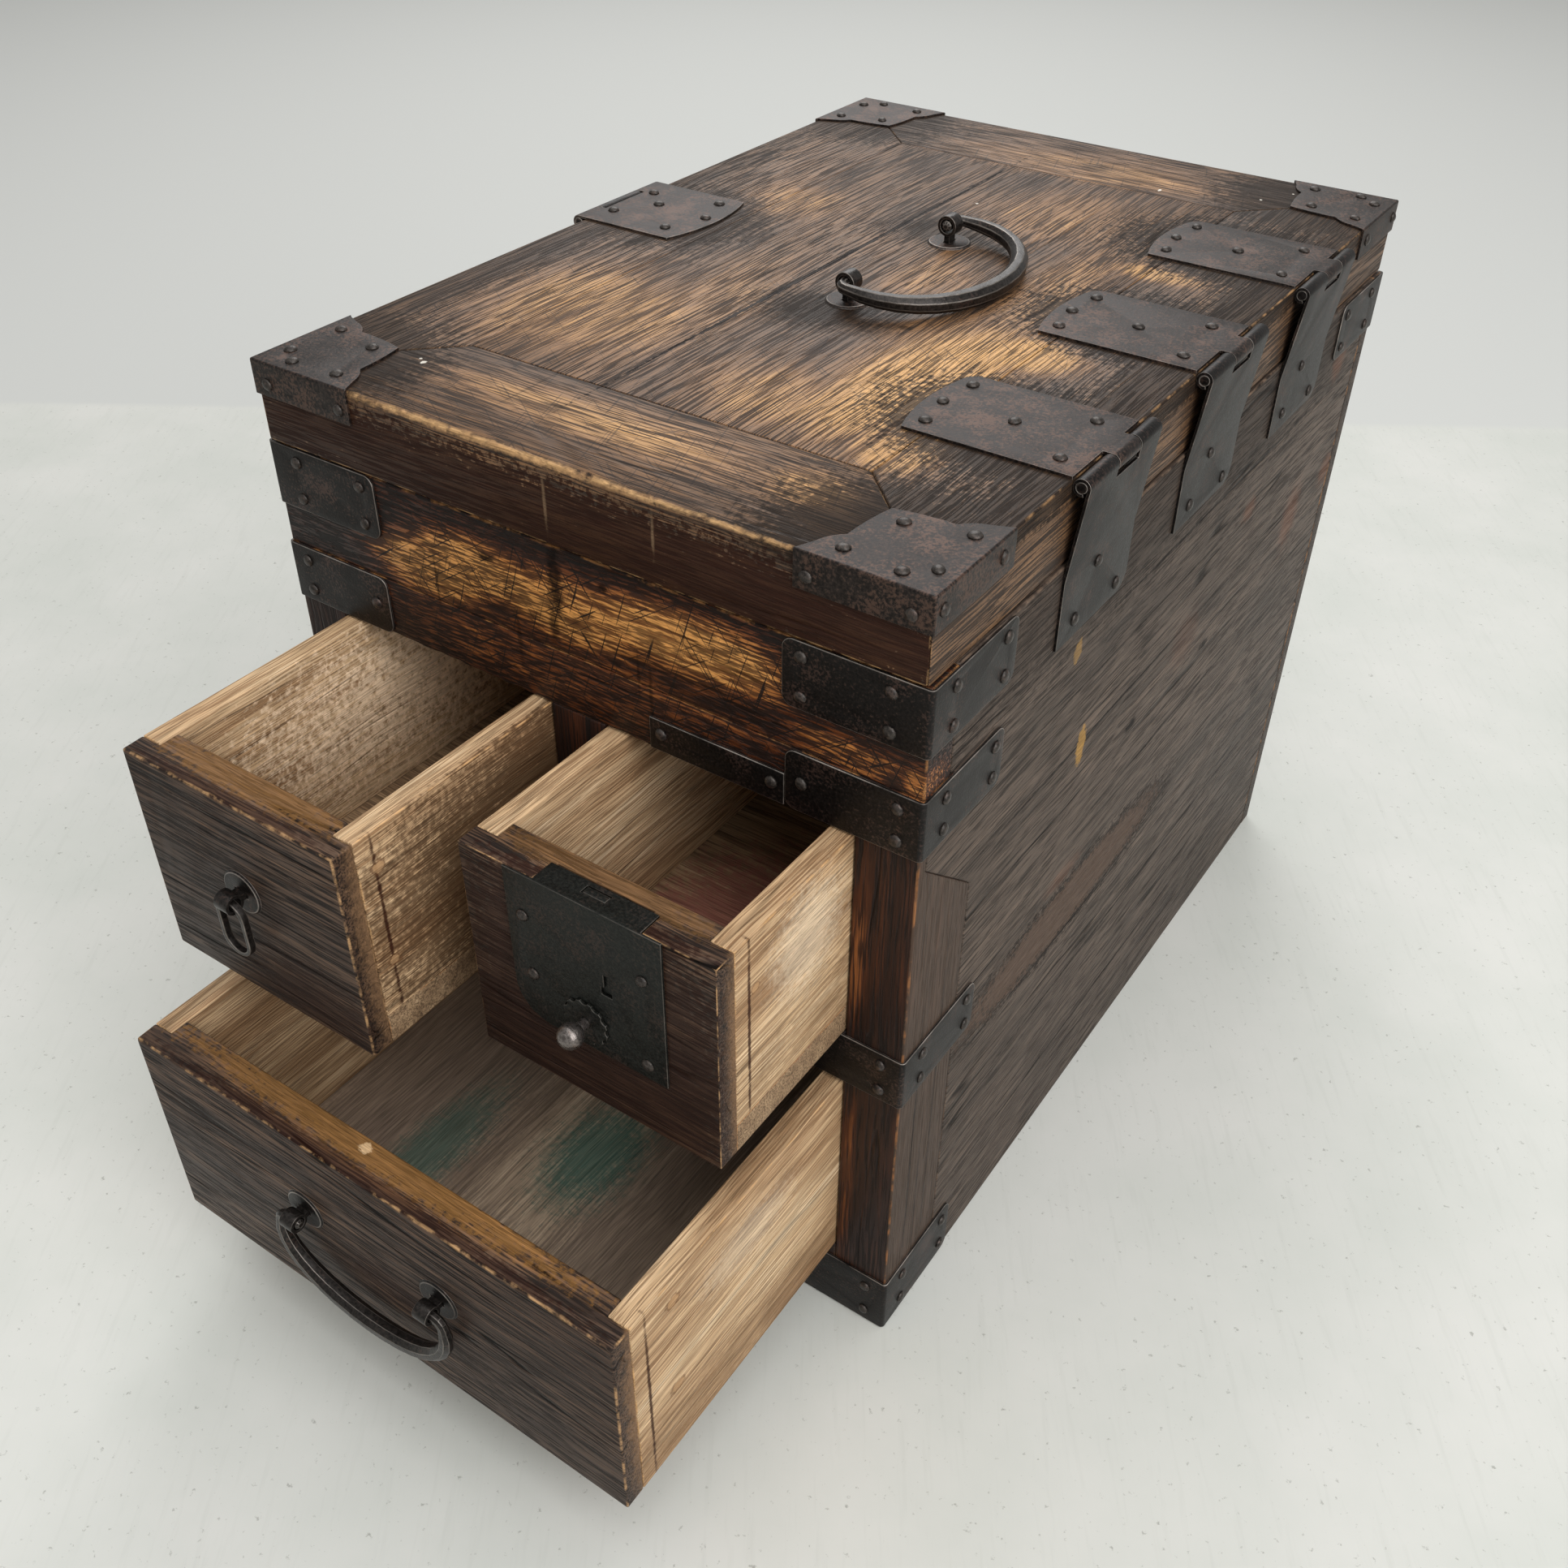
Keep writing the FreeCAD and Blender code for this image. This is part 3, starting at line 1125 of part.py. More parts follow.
doc.recompute()
for item in doc.Objects:
    if {"Invalid", "Error"} & set(item.State):
        raise RuntimeError("%s did not compute: %s" % (item.Label, item.State))
os.makedirs("parts", exist_ok=True)
facets = 0
for label in NODES:
    shape = doc.getObjectsByLabel(label)[0].Shape
    if shape.isNull() or not shape.isValid() or not shape.Solids:
        raise RuntimeError("%s has no valid solid" % label)
    shape.exportStep("parts/%s.step" % label)
    count = len(shape.tessellate(0.1)[1])
    facets += count
    print("%-22s %2d solids %9.1f mm3 %5d facets" % (label, len(shape.Solids), shape.Volume, count))
print(len(NODES), "nodes,", facets, "facets")
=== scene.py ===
"""Small tansu chest: the finish of each piece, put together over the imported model."""
import json
import math

import bpy
from mathutils import Matrix, Vector, noise


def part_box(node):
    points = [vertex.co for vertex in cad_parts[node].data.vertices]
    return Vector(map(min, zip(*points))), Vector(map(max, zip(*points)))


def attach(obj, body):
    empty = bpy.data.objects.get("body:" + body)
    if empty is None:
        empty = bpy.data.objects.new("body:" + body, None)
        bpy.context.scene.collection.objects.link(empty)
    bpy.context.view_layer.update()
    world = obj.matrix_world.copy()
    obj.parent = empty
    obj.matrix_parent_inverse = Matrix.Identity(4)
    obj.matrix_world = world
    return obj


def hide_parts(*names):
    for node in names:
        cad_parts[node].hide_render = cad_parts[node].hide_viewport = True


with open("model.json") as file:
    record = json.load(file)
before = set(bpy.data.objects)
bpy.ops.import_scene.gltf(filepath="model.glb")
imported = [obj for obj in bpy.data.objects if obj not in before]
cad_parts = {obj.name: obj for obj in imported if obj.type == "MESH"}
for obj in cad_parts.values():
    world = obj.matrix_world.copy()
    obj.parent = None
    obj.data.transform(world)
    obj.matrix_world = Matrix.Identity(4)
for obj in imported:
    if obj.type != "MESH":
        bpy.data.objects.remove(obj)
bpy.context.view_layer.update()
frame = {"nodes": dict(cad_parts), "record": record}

MM = 0.001


# ---------------------------------------------------------------- camera
# A phone-like lens looking down on the chest from its right front corner.
# The body is tipped a little to one side, as a hand-held one is.
LENS_MM, SENSOR_MM = 36.10, 36.0
EYE = Vector((310.84, -533.53, 577.23)) * MM
HEADING, LOOK_DOWN, ROLL = 33.978, 38.298, 0.6016

bpy.ops.object.camera_add(location=EYE)
camera = bpy.context.object
camera.name = "camera"
camera.data.lens = LENS_MM
camera.data.sensor_width = SENSOR_MM
camera.data.sensor_fit = "HORIZONTAL"
camera.data.clip_start = 0.01
camera.matrix_world = (Matrix.Translation(EYE)
                       @ Matrix.Rotation(math.radians(HEADING), 4, "Z")
                       @ Matrix.Rotation(math.radians(90 - LOOK_DOWN), 4, "X")
                       @ Matrix.Rotation(math.radians(ROLL), 4, "Z"))
bpy.context.scene.camera = camera
bpy.context.scene.view_settings.view_transform = "Standard"


# ---------------------------------------------------------------- floor and light
# A brushed, painted floor, pale grey-green, and beyond a straight joint the same floor in the
# paler off-white of the wall. Soft daylight comes from above, the right and the wall behind.
def linear(code):
    """An sRGB hex colour as the linear values that the shader takes."""
    parts = [int(code[start:start + 2], 16) / 255 for start in (1, 3, 5)]
    light = [part / 12.92 if part <= 0.04045 else ((part + 0.055) / 1.055) ** 2.4
             for part in parts]
    return (*light, 1.0)


def add(tree, kind, *inputs, out=0, named=None, stops=(), **settings):
    """Adds one shader node. Each input gets a value, or the output that feeds it."""
    node = tree.nodes.new("ShaderNode" + kind)
    for setting, value in settings.items():
        setattr(node, setting, value)
    for socket, value in list(enumerate(inputs)) + list((named or {}).items()):
        if isinstance(value, bpy.types.NodeSocket):
            tree.links.new(value, node.inputs[socket])
        elif value is not None:
            node.inputs[socket].default_value = value
    for number, (position, colour) in enumerate(stops):
        elements = node.color_ramp.elements
        element = elements[number] if number < 2 else elements.new(position)
        element.position, element.color = position, linear(colour)
    return node.outputs[out] if node.outputs else node


def new_material(name):
    material = bpy.data.materials.new(name)
    material.use_nodes = True
    material.node_tree.nodes.clear()
    return material, material.node_tree


# the paler part starts this far from the chest, along a line turned this much, with a soft joint
WALL_AWAY, WALL_TURN, WALL_JOINT = 0.615, math.radians(33.2), 0.006
FLOOR_SIDE = 14.0

bpy.ops.mesh.primitive_plane_add(size=FLOOR_SIDE, location=(0, 0, 0))
floor = bpy.context.object
floor.name = "studio_floor"
# Emulsion brushed on over old concrete: clouds 120 mm wide, brush drags 4 mm apart, fine pits.
painted_floor, tree = new_material("brushed_emulsion_floor")
place = add(tree, "TexCoord", out=3)
turned = add(tree, "Mapping", place, None, (0, 0, -WALL_TURN))
away = add(tree, "SeparateXYZ", turned, out=1)
clouds = add(tree, "TexNoise", place, 0.0, 8.0, 5.0, 0.6)
strokes = add(tree, "Mapping", turned, None, (0, 0, 0.5), (250, 20, 1))
drags = add(tree, "TexNoise", strokes, 0.0, 1.0, 3.0, 0.6)
pits = add(tree, "TexNoise", place, 0.0, 260.0, 3.0, 0.7)
colour = add(tree, "ValToRGB", clouds, stops=[(0.35, "#c8cac4"), (0.65, "#d1d1cc")])
drag_share = add(tree, "MapRange", drags, 0.55, 0.72, 0.0, 0.16)
colour = add(tree, "Mix", drag_share, named={6: colour, 7: linear("#b4b6af")}, out=2,
             data_type="RGBA")
pit_share = add(tree, "MapRange", pits, 0.64, 0.72, 0.0, 0.6)
colour = add(tree, "Mix", pit_share, named={6: colour, 7: linear("#85857d")}, out=2,
             data_type="RGBA")
wall_part = add(tree, "MapRange", away, WALL_AWAY - WALL_JOINT, WALL_AWAY + WALL_JOINT, 0.0, 1.0,
                interpolation_type="SMOOTHSTEP")
colour = add(tree, "Mix", wall_part, named={6: colour, 7: linear("#c7c8c5")}, out=2,
             data_type="RGBA")
bump = add(tree, "Bump", named={"Height": drags, "Strength": 0.1, "Distance": 0.0005})
shader = add(tree, "BsdfPrincipled", named={"Base Color": colour, "Roughness": 0.75,
                                            "Normal": bump, "Specular IOR Level": 0.3})
add(tree, "OutputMaterial", shader)
floor.data.materials.append(painted_floor)

DAYLIGHT = 0.52
world = bpy.data.worlds.new("daylight")
bpy.context.scene.world = world
world.use_nodes = True
world.node_tree.nodes["Background"].inputs["Color"].default_value = linear("#e6e6e4")
world.node_tree.nodes["Background"].inputs["Strength"].default_value = DAYLIGHT


def soft_lamp(name, place, aim, size, watts):
    lamp = bpy.data.lights.new(name, "AREA")
    lamp.size = size
    lamp.energy = watts
    holder = bpy.data.objects.new(name, lamp)
    bpy.context.scene.collection.objects.link(holder)
    holder.location = place
    holder.rotation_euler = (Vector(aim) - Vector(place)).to_track_quat("-Z", "Y").to_euler()


soft_lamp("window_right", (1.6, -0.75, 1.4), (0, -0.1, 0.15), 1.6, 32)
soft_lamp("wall_glow", (-1.15, 1.75, 1.9), (0, 0, 0.3), 1.5, 26)
soft_lamp("sky_above", (0.2, -0.3, 2.4), (0, 0, 0.2), 2.2, 26)


# ---------------------------------------------------------------- case: side boards
# One wide chestnut board a side, planed smooth and smoked a dull grey-brown, its fibres front to
# back. Dowels and nails through its edges hold the rails; scars and splashes mark its outer face.
GRAINS = {"x": 0, "y": 1, "z": 2}


def fibres(tree, place, grain, along, across, detail):
    """Soft strands drawn out along the grain: one is about `across` mm wide, `along` mm long."""
    scale = [1000 / across] * 3
    scale[GRAINS[grain]] = 1000 / along
    drawn_out = add(tree, "Mapping", place, None, None, scale)
    return add(tree, "TexNoise", drawn_out, 0.0, 1.0, detail, 0.55)


def marked(tree, place, marks, ragged=0.0):
    """How much a place lies in any mark: each has a centre, half sizes in mm and a strength."""
    most = 0.0
    for centre, halves, strength, *soft in marks:
        inner, outer = soft or (0.35, 1.25)
        local = add(tree, "Mapping", place, [-c / h for c, h in zip(centre, halves)], None,
                    [1000 / h for h in halves])
        away = add(tree, "VectorMath", local, out=1, operation="LENGTH")
        if ragged:
            away = add(tree, "Math", away, ragged, operation="ADD")
        patch = add(tree, "MapRange", away, inner, outer, strength, 0.0,
                    interpolation_type="SMOOTHSTEP")
        most = add(tree, "Math", most, patch, operation="MAXIMUM")
    return most


def seasoned_wood(name, grain, tones, worn=0.3, wear=(), rings=(320, 4.5, 0.35),
                  pores=(30, 0.8, 0.6, 0.53), soot="#120c09", clouds=0.5, cracks=0.5,
                  scratches=None, stains=(), arris="#a8794f", relief=0.6, rough=0.5, sheen=0.25,
                  seed=0.0):
    """Old boards: tones run from the sooty hollows to the wood that wear has bared.

    Growth rings and open pores are drawn out along the grain. Rings have a length and a width in
    mm and a share of the tone; pores have the same, and the level from which they are open.
    Scratches lie across one face: the axis that they turn about, and how dark they are. A stain
    has a colour, a strength and its marks; painted shade and painted light are given the same
    way. Hands polish the wood, and soot, stains, painted patches and cracks stay dull.
    """
    material, tree = new_material(name)
    place = add(tree, "TexCoord", out=3)
    moved = add(tree, "Mapping", place, (seed, 0.7 * seed, 1.3 * seed))
    # the grain wanders by up to 3 mm over 110 mm
    drift = add(tree, "TexNoise", moved, 0.0, 9.0, 2.0, out=1)
    drift = add(tree, "VectorMath", drift, (0.5, 0.5, 0.5), operation="SUBTRACT")
    flow = add(tree, "VectorMath", drift, (0.006, 0.006, 0.006), moved, operation="MULTIPLY_ADD")
    ring = fibres(tree, flow, grain, rings[0], rings[1], 3.0)
    pore = fibres(tree, flow, grain, pores[0], pores[1], 2.0)
    fine = fibres(tree, flow, grain, pores[0] * 0.35, pores[1] * 0.55, 1.0)
    broad = fibres(tree, moved, grain, 90, 34, 4.0)
    # how worn each place is: the marks, broken up by cloud, ring and pore
    ring_part = add(tree, "Math", ring, rings[2] * 2, -rings[2], operation="MULTIPLY_ADD")
    cloud_part = add(tree, "Math", broad, clouds * 2, -clouds, operation="MULTIPLY_ADD")
    pore_part = add(tree, "Math", pore, -0.8, 0.4, operation="MULTIPLY_ADD")
    height = add(tree, "Math", ring_part, worn, operation="ADD")
    height = add(tree, "Math", height, cloud_part, operation="ADD")
    height = add(tree, "Math", height, pore_part, operation="ADD")
    if wear:
        height = add(tree, "Math", height, marked(tree, place, wear), operation="ADD")
    colour = add(tree, "ValToRGB", height, stops=tones)
    # soot in the open pores, more of it where the clouds are thick
    line = add(tree, "MapRange", pore, pores[3], pores[3] + 0.05, 0.0, 1.0)
    share = add(tree, "Math", broad, 1.2, 0.2, operation="MULTIPLY_ADD", use_clamp=True)
    share = add(tree, "Math", line, share, operation="MULTIPLY")
    share = add(tree, "Math", share, pores[2], operation="MULTIPLY")
    colour = add(tree, "Mix", share, named={6: colour, 7: linear(soot)}, out=2, data_type="RGBA")
    # drying cracks follow a level line of strands 340 mm long, and come and go along it
    strand = fibres(tree, flow, grain, 340, 15, 1.0)
    gap = add(tree, "Math", strand, -0.5, operation="ADD")
    gap = add(tree, "Math", gap, operation="ABSOLUTE")
    crack = add(tree, "MapRange", gap, 0.004, 0.016, cracks, 0.0)
    fade = add(tree, "MapRange", fibres(tree, moved, grain, 60, 9, 2.0), 0.42, 0.6, 0.0, 1.0)
    crack = add(tree, "Math", crack, fade, operation="MULTIPLY")
    colour = add(tree, "Mix", crack, named={6: colour, 7: linear("#0d0806")}, out=2,
                 data_type="RGBA")
    if scratches:
        # strokes 21 mm long and 0.7 mm wide, at three slants
        across, dark = scratches
        cut = 0.0
        for turn in (0.6, 1.25, 2.2):
            lie = [0.0, 0.0, 0.0]
            lie[GRAINS[across]] = turn
            turned = add(tree, "Mapping", moved, None, lie)
            stroke = fibres(tree, turned, "x", 21, 0.7, 0.0)
            cut = add(tree, "Math", cut, add(tree, "MapRange", stroke, 0.71, 0.77, 0.0, dark),
                      operation="MAXIMUM")
        colour = add(tree, "Mix", cut, named={6: colour, 7: linear("#150d0a")}, out=2,
                     data_type="RGBA")
    # stains, splashes, scars, painted shade and painted light by place, their edges broken up
    # by fine grain and 2 mm specks
    speck = add(tree, "TexNoise", moved, 0.0, 420.0, 3.0, 0.6)
    shake = add(tree, "Math", fine, 0.6, -0.95, operation="MULTIPLY_ADD")
    shake = add(tree, "Math", speck, 1.3, shake, operation="MULTIPLY_ADD")
    dull = crack
    for stain, strength, marks in stains:
        spread = marked(tree, place, marks, shake)
        spread = add(tree, "Math", spread, strength, operation="MULTIPLY")
        dull = add(tree, "Math", dull, spread, operation="MAXIMUM")
        colour = add(tree, "Mix", spread, named={6: colour, 7: linear(stain)}, out=2,
                     data_type="RGBA")
    # arrises rubbed bare in patches 7 mm long
    chips = add(tree, "TexNoise", moved, 0.0, 150.0, 4.0, 0.6)
    rub = add(tree, "MapRange", chips, 0.46, 0.60, 0.0, 0.85)
    rub = add(tree, "Math", rub, add(tree, "Attribute", out=2, attribute_name="arris"),
              operation="MULTIPLY")
    colour = add(tree, "Mix", rub, named={6: colour, 7: linear(arris)}, out=2, data_type="RGBA")
    # every fibre is a little lighter or darker than the next
    fibre = add(tree, "MapRange", fine, 0.3, 0.7, 0.72, 1.28)
    fibre = add(tree, "CombineColor", fibre, fibre, fibre)
    colour = add(tree, "Mix", 1.0, named={6: colour, 7: fibre}, out=2, data_type="RGBA",
                 blend_type="MULTIPLY")
    # the relief: late growth stands proud, pores and cracks are cut in
    level = add(tree, "Math", ring, 0.5, operation="MULTIPLY")
    level = add(tree, "Math", line, -0.4, level, operation="MULTIPLY_ADD")
    level = add(tree, "Math", crack, -1.2, level, operation="MULTIPLY_ADD")
    bump = add(tree, "Bump", named={"Height": level, "Strength": relief, "Distance": 0.001})
    gloss = add(tree, "Math", share, 0.25, rough, operation="MULTIPLY_ADD")
    polish = add(tree, "Math", dull, -0.7 * sheen, sheen, operation="MULTIPLY_ADD")
    shader = add(tree, "BsdfPrincipled", named={"Base Color": colour, "Roughness": gloss,
                                                "Normal": bump, "Specular IOR Level": polish})
    add(tree, "OutputMaterial", shader)
    return material


def only(piece):
    """Leaves this piece alone selected and active."""
    bpy.ops.object.select_all(action="DESELECT")
    piece.select_set(True)
    bpy.context.view_layer.objects.active = piece


def merged_copy(node, name):
    """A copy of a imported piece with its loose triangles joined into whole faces."""
    piece = frame["nodes"][node].copy()
    piece.data = frame["nodes"][node].data.copy()
    piece.name = name
    piece.parent = None
    for key in list(piece.keys()):
        del piece[key]
    piece.data.materials.clear()
    bpy.context.scene.collection.objects.link(piece)
    only(piece)
    bpy.ops.mesh.customdata_custom_splitnormals_clear()
    bpy.ops.object.mode_set(mode="EDIT")
    bpy.ops.mesh.select_all(action="SELECT")
    bpy.ops.mesh.remove_doubles(threshold=1e-6)
    bpy.ops.mesh.dissolve_limited(angle_limit=math.radians(0.8))
    bpy.ops.mesh.select_all(action="DESELECT")
    bpy.ops.object.mode_set(mode="OBJECT")
    return piece


def round_arrises(piece, radius, block, sharp):
    """Rubs the sharp edges round and marks those on the block's outer edges as rubbed bare."""
    only(piece)
    for _ in ("flat faces", "rounded arrises"):
        piece.data.materials.append(None)
    bpy.ops.object.mode_set(mode="EDIT")
    bpy.ops.mesh.select_mode(type="EDGE")
    bpy.ops.mesh.select_all(action="DESELECT")
    bpy.ops.mesh.edges_select_sharp(sharpness=math.radians(sharp))
    bpy.ops.mesh.bevel(offset=radius * MM, segments=3, profile=0.55, clamp_overlap=True,
                       material=1)
    bpy.ops.object.mode_set(mode="OBJECT")
    flat, rounded = set(), set()
    for face in piece.data.polygons:
        (rounded if face.material_index else flat).update(face.vertices)
        face.material_index = 0
    piece.data.materials.clear()
    attribute = piece.data.attributes.new("arris", "FLOAT", "POINT")
    near = (radius + 0.2) * MM
    for corner in rounded - flat:
        spot = piece.data.vertices[corner].co
        outer = sum(min(abs(spot[axis] - block[0][axis]), abs(spot[axis] - block[1][axis])) < near
                    for axis in range(3)) if block else 3
        attribute.data[corner].value = 1.0 if outer > 1 else 0.0
    bpy.ops.object.shade_smooth_by_angle(angle=math.radians(35))


BODY_OF = {node: body for body, members in frame["record"]["behaviour"]["bodies"].items()
           for node in members}


def finished(node, material, radius, sharp=30, among=None):
    """The piece as it is: arrises rubbed round, in its material, in place of the sharp one.

    The radius is in mm, and an edge counts as sharp from that many degrees. Among its neighbours
    only the outer edges of them all are rubbed; else every edge is.
    """
    piece = merged_copy(node, "finished_" + node)
    boxes = [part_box(other) for other in (among or [])]
    block = ([min(box[0][axis] for box in boxes) for axis in range(3)],
             [max(box[1][axis] for box in boxes) for axis in range(3)]) if boxes else None
    round_arrises(piece, radius, block, sharp)
    piece.data.materials.append(material)
    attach(piece, BODY_OF[node])
    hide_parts(node)
    return piece


OUTER = 139  # the boards' outer faces stand at X = 139 mm on the right and -139 mm on the left
SIDE_STAINS = [
    # smoke thickens towards the lid
    ("#1b1512", 0.55, [((OUTER, 0, 306), (20, 260, 34), 1.0, 0.4, 1.3)]),
    # a tongue of summer growth, paler inside a dark line
    ("#1a1411", 0.9, [((OUTER, -66, 135), (20, 97, 17), 1.0, 0.90, 1.08)]),
    ("#6a574b", 0.62, [((OUTER, -68, 135), (20, 91, 14.6), 1.0, 0.86, 1.04)]),
    # long dark lines where the board has opened a little
    ("#17110e", 0.85, [((OUTER, 40, 278), (20, 170, 1.0), 1.0),
                       ((OUTER, -20, 226), (20, 150, 1.0), 1.0),
                       ((OUTER, 30, 178), (20, 110, 0.9), 0.9),
                       ((OUTER, 20, 88), (20, 190, 1.1), 1.0),
                       ((OUTER, -30, 43), (20, 160, 1.1), 1.0),
                       ((OUTER, -40, 255), (20, 120, 0.8), 0.8),
                       ((OUTER, -60, 120), (20, 60, 1.0), 0.9),
                       ((OUTER, 190, 123), (20, 1.8, 20), 1.0)]),
    # old paint and rust splashes
    ("#a07c46", 0.90, [((OUTER, -80, 225), (20, 3.6, 9), 1.0, 0.8, 1.1),
                       ((OUTER, -96, 275), (20, 3.4, 5), 0.6, 0.7, 1.1)]),
    ("#76513f", 0.50, [((OUTER, 74, 255), (20, 8, 6), 0.8),
                       ((OUTER, 141, 222), (20, 12, 18), 0.9),
                       ((OUTER, 186, 228), (20, 10, 9), 1.0),
                       ((OUTER, 165, 290), (20, 9, 10), 0.9),
                       ((OUTER, -78, 158), (20, 18, 5), 0.6),
                       ((OUTER, 20, 218), (20, 16, 14), 0.4)]),
    # plugged dowel holes and two dents
    ("#0d0a09", 0.85, [((OUTER, -28, 203), (20, 5.5, 2.6), 1.0),
                       ((OUTER, 47.5, 201), (20, 5.5, 2.6), 1.0),
                       ((OUTER, 153, 116), (20, 8, 4), 0.8),
                       ((OUTER, -28, 237), (20, 5, 1.6), 0.7)]),
]
side_wood = seasoned_wood("smoked_chestnut_side", "y", [
    (0.0, "#221a16"), (0.35, "#42372f"), (0.7, "#5a4c42"), (1.0, "#736153")], worn=0.5,
    rings=(420, 5, 0.5), pores=(22, 0.7, 0.6, 0.52), clouds=0.35, cracks=0.8, stains=SIDE_STAINS,
    arris="#6d5a4b", relief=0.6, rough=0.55)
CASE_BOARDS = ("side_board_left", "side_board_right", "upper_front_board", "bottom_rail")
for node in CASE_BOARDS[:2]:
    finished(node, side_wood, 1.0, among=CASE_BOARDS)


# ---------------------------------------------------------------- case: posts and rails
# Upright chestnut posts mitred into the sides at their tops, and rails tenoned between them.
# Red lacquer has gone from the posts except a brown-red film; the arrises are rubbed bare.
post_wood = seasoned_wood("red_brown_chestnut_post", "z", [
    (0.0, "#130b09"), (0.4, "#2a1710"), (0.75, "#4c2816"), (1.0, "#84502a")], worn=0.35,
    rings=(300, 4, 0.45), pores=(30, 0.9, 0.7, 0.53), clouds=0.45, cracks=0.5, arris="#8a5c38",
    wear=[((118, -203, 200), (5, 8, 40), 0.45), ((118, -203, 90), (5, 8, 60), 0.4)],
    stains=[
        # outer faces smoked like the side boards
        ("#54453a", 0.62, [((OUTER, 0, 150), (0.8, 400, 400), 1.0, 0.9, 1.1),
                           ((-OUTER, 0, 150), (0.8, 400, 400), 1.0, 0.9, 1.1)]),
        # splits up the grain
        ("#1b1411", 0.8, [((OUTER, -190, 100), (2, 0.7, 90), 1.0),
                          ((OUTER, -176, 120), (2, 0.6, 110), 0.9),
                          ((OUTER, -183, 60), (2, 0.6, 60), 0.8),
                          ((OUTER, -165, 100), (2, 1.0, 130), 1.0)])])
for node in ("front_post_left", "front_post_right", "divider_post"):
    finished(node, post_wood, 0.9, among=CASE_BOARDS)
# The rails keep more of the lacquer's brown, with the grain across.
rail_wood = seasoned_wood("smoked_chestnut_rail", "x", [
    (0.0, "#160e0b"), (0.4, "#2c1a12"), (0.75, "#4a2c1b"), (1.0, "#7b4d2c")], worn=0.3,
    pores=(22, 0.8, 0.6, 0.53), arris="#8a5c38")
for node in ("middle_rail", "bottom_rail"):
    finished(node, rail_wood, 0.8, among=CASE_BOARDS)


# ---------------------------------------------------------------- case: front board
# A zelkova board let in across the front. Generations of knees and hands have rubbed a golden
# band along it, cut by short sooty pores and crossed by scratches.
def chip_arris(piece, arris_y, arris_z, into_z, depth, reach, seed):
    """Breaks bits off a front arris that runs along X: its corners sink into the wood unevenly.

    The wood lies behind the arris, and below it where into_z is -1 or above it where it is 1.
    """
    only(piece)
    bpy.ops.object.mode_set(mode="EDIT")
    bpy.ops.mesh.select_mode(type="EDGE")
    bpy.ops.mesh.select_all(action="DESELECT")
    bpy.ops.object.mode_set(mode="OBJECT")
    mesh = piece.data

    def near(corner):
        return abs(corner.y / MM - arris_y) < reach and abs(corner.z / MM - arris_z) < reach

    for edge in mesh.edges:
        ends = [mesh.vertices[corner].co for corner in edge.vertices]
        edge.select = all(map(near, ends)) and abs(ends[0].x - ends[1].x) > 30 * MM
    bpy.ops.object.mode_set(mode="EDIT")
    bpy.ops.mesh.subdivide(number_cuts=90)
    bpy.ops.object.mode_set(mode="OBJECT")
    for corner in mesh.vertices:
        spot = corner.co
        if not near(spot):
            continue
        # bites 8 mm long, with splinters of 2 mm in them
        bite = (noise.noise(Vector((spot.x * 130, seed, 0.0)))
                + 0.6 * noise.noise(Vector((spot.x * 420, seed, 7.0))))
        sink = depth * MM * min(1.0, max(0.0, bite + 0.15))
        on_top = abs(spot.z / MM - arris_z) < 0.02
        in_front = abs(spot.y / MM - arris_y) < 0.02
        spot.y += sink * (1.0 if on_top else 0.0 if in_front else 0.6)
        spot.z += into_z * sink * (1.0 if in_front else 0.0 if on_top else 0.6)


FRONT_Y = -203
front_wood = seasoned_wood("rubbed_zelkova_front", "x", [
    (0.0, "#100806"), (0.35, "#3a1c0f"), (0.62, "#6b3b1e"), (0.84, "#a56935"), (1.0, "#d09351")],
    worn=0.20, rings=(160, 2.2, 0.35), pores=(9, 0.85, 1.0, 0.455), clouds=0.26, cracks=0.3,
    scratches=("y", 0.95),
    wear=[((-65, FRONT_Y, 290), (38, 20, 15), 0.88), ((-40, FRONT_Y, 299), (46, 20, 14), 0.84),
          ((48, FRONT_Y, 301), (58, 20, 17), 0.88), ((0, FRONT_Y, 296), (48, 20, 18), 0.82),
          ((112, FRONT_Y, 285), (32, 20, 8), 0.5), ((136, FRONT_Y, 284), (7, 20, 8), 0.6),
          ((0, FRONT_Y, 272), (104, 20, 22), 0.34)],
    stains=[("#0f0907", 0.85, [((-5, FRONT_Y, 306), (3.4, 20, 16), 1.0),
                               ((-7, FRONT_Y, 288), (2.5, 20, 9), 0.8),
                               ((-36, FRONT_Y, 304.5), (4, 20, 1.8), 1.0),
                               ((16, FRONT_Y, 310.5), (2.6, 20, 2), 1.0),
                               ((-62, FRONT_Y, 286), (0.7, 20, 14), 0.7),
                               ((34, FRONT_Y, 276), (1.0, 20, 16), 0.7),
                               ((-24, FRONT_Y, 276), (1.2, 20, 12), 0.6),
                               ((29, FRONT_Y, 282), (0.8, 20, 10), 0.6)])],
    arris="#9a6a3c", relief=0.8, rough=0.42, seed=0.31)
front_board = finished("upper_front_board", front_wood, 0.9, among=CASE_BOARDS)
top_rail = finished("top_rail", front_wood, 0.9, among=CASE_BOARDS)
chip_arris(front_board, arris_y=-202.5, arris_z=319.5, into_z=-1, depth=0.8, reach=1.4, seed=5.0)
chip_arris(top_rail, arris_y=-202.5, arris_z=254.0, into_z=1, depth=1.0, reach=1.4, seed=9.0)


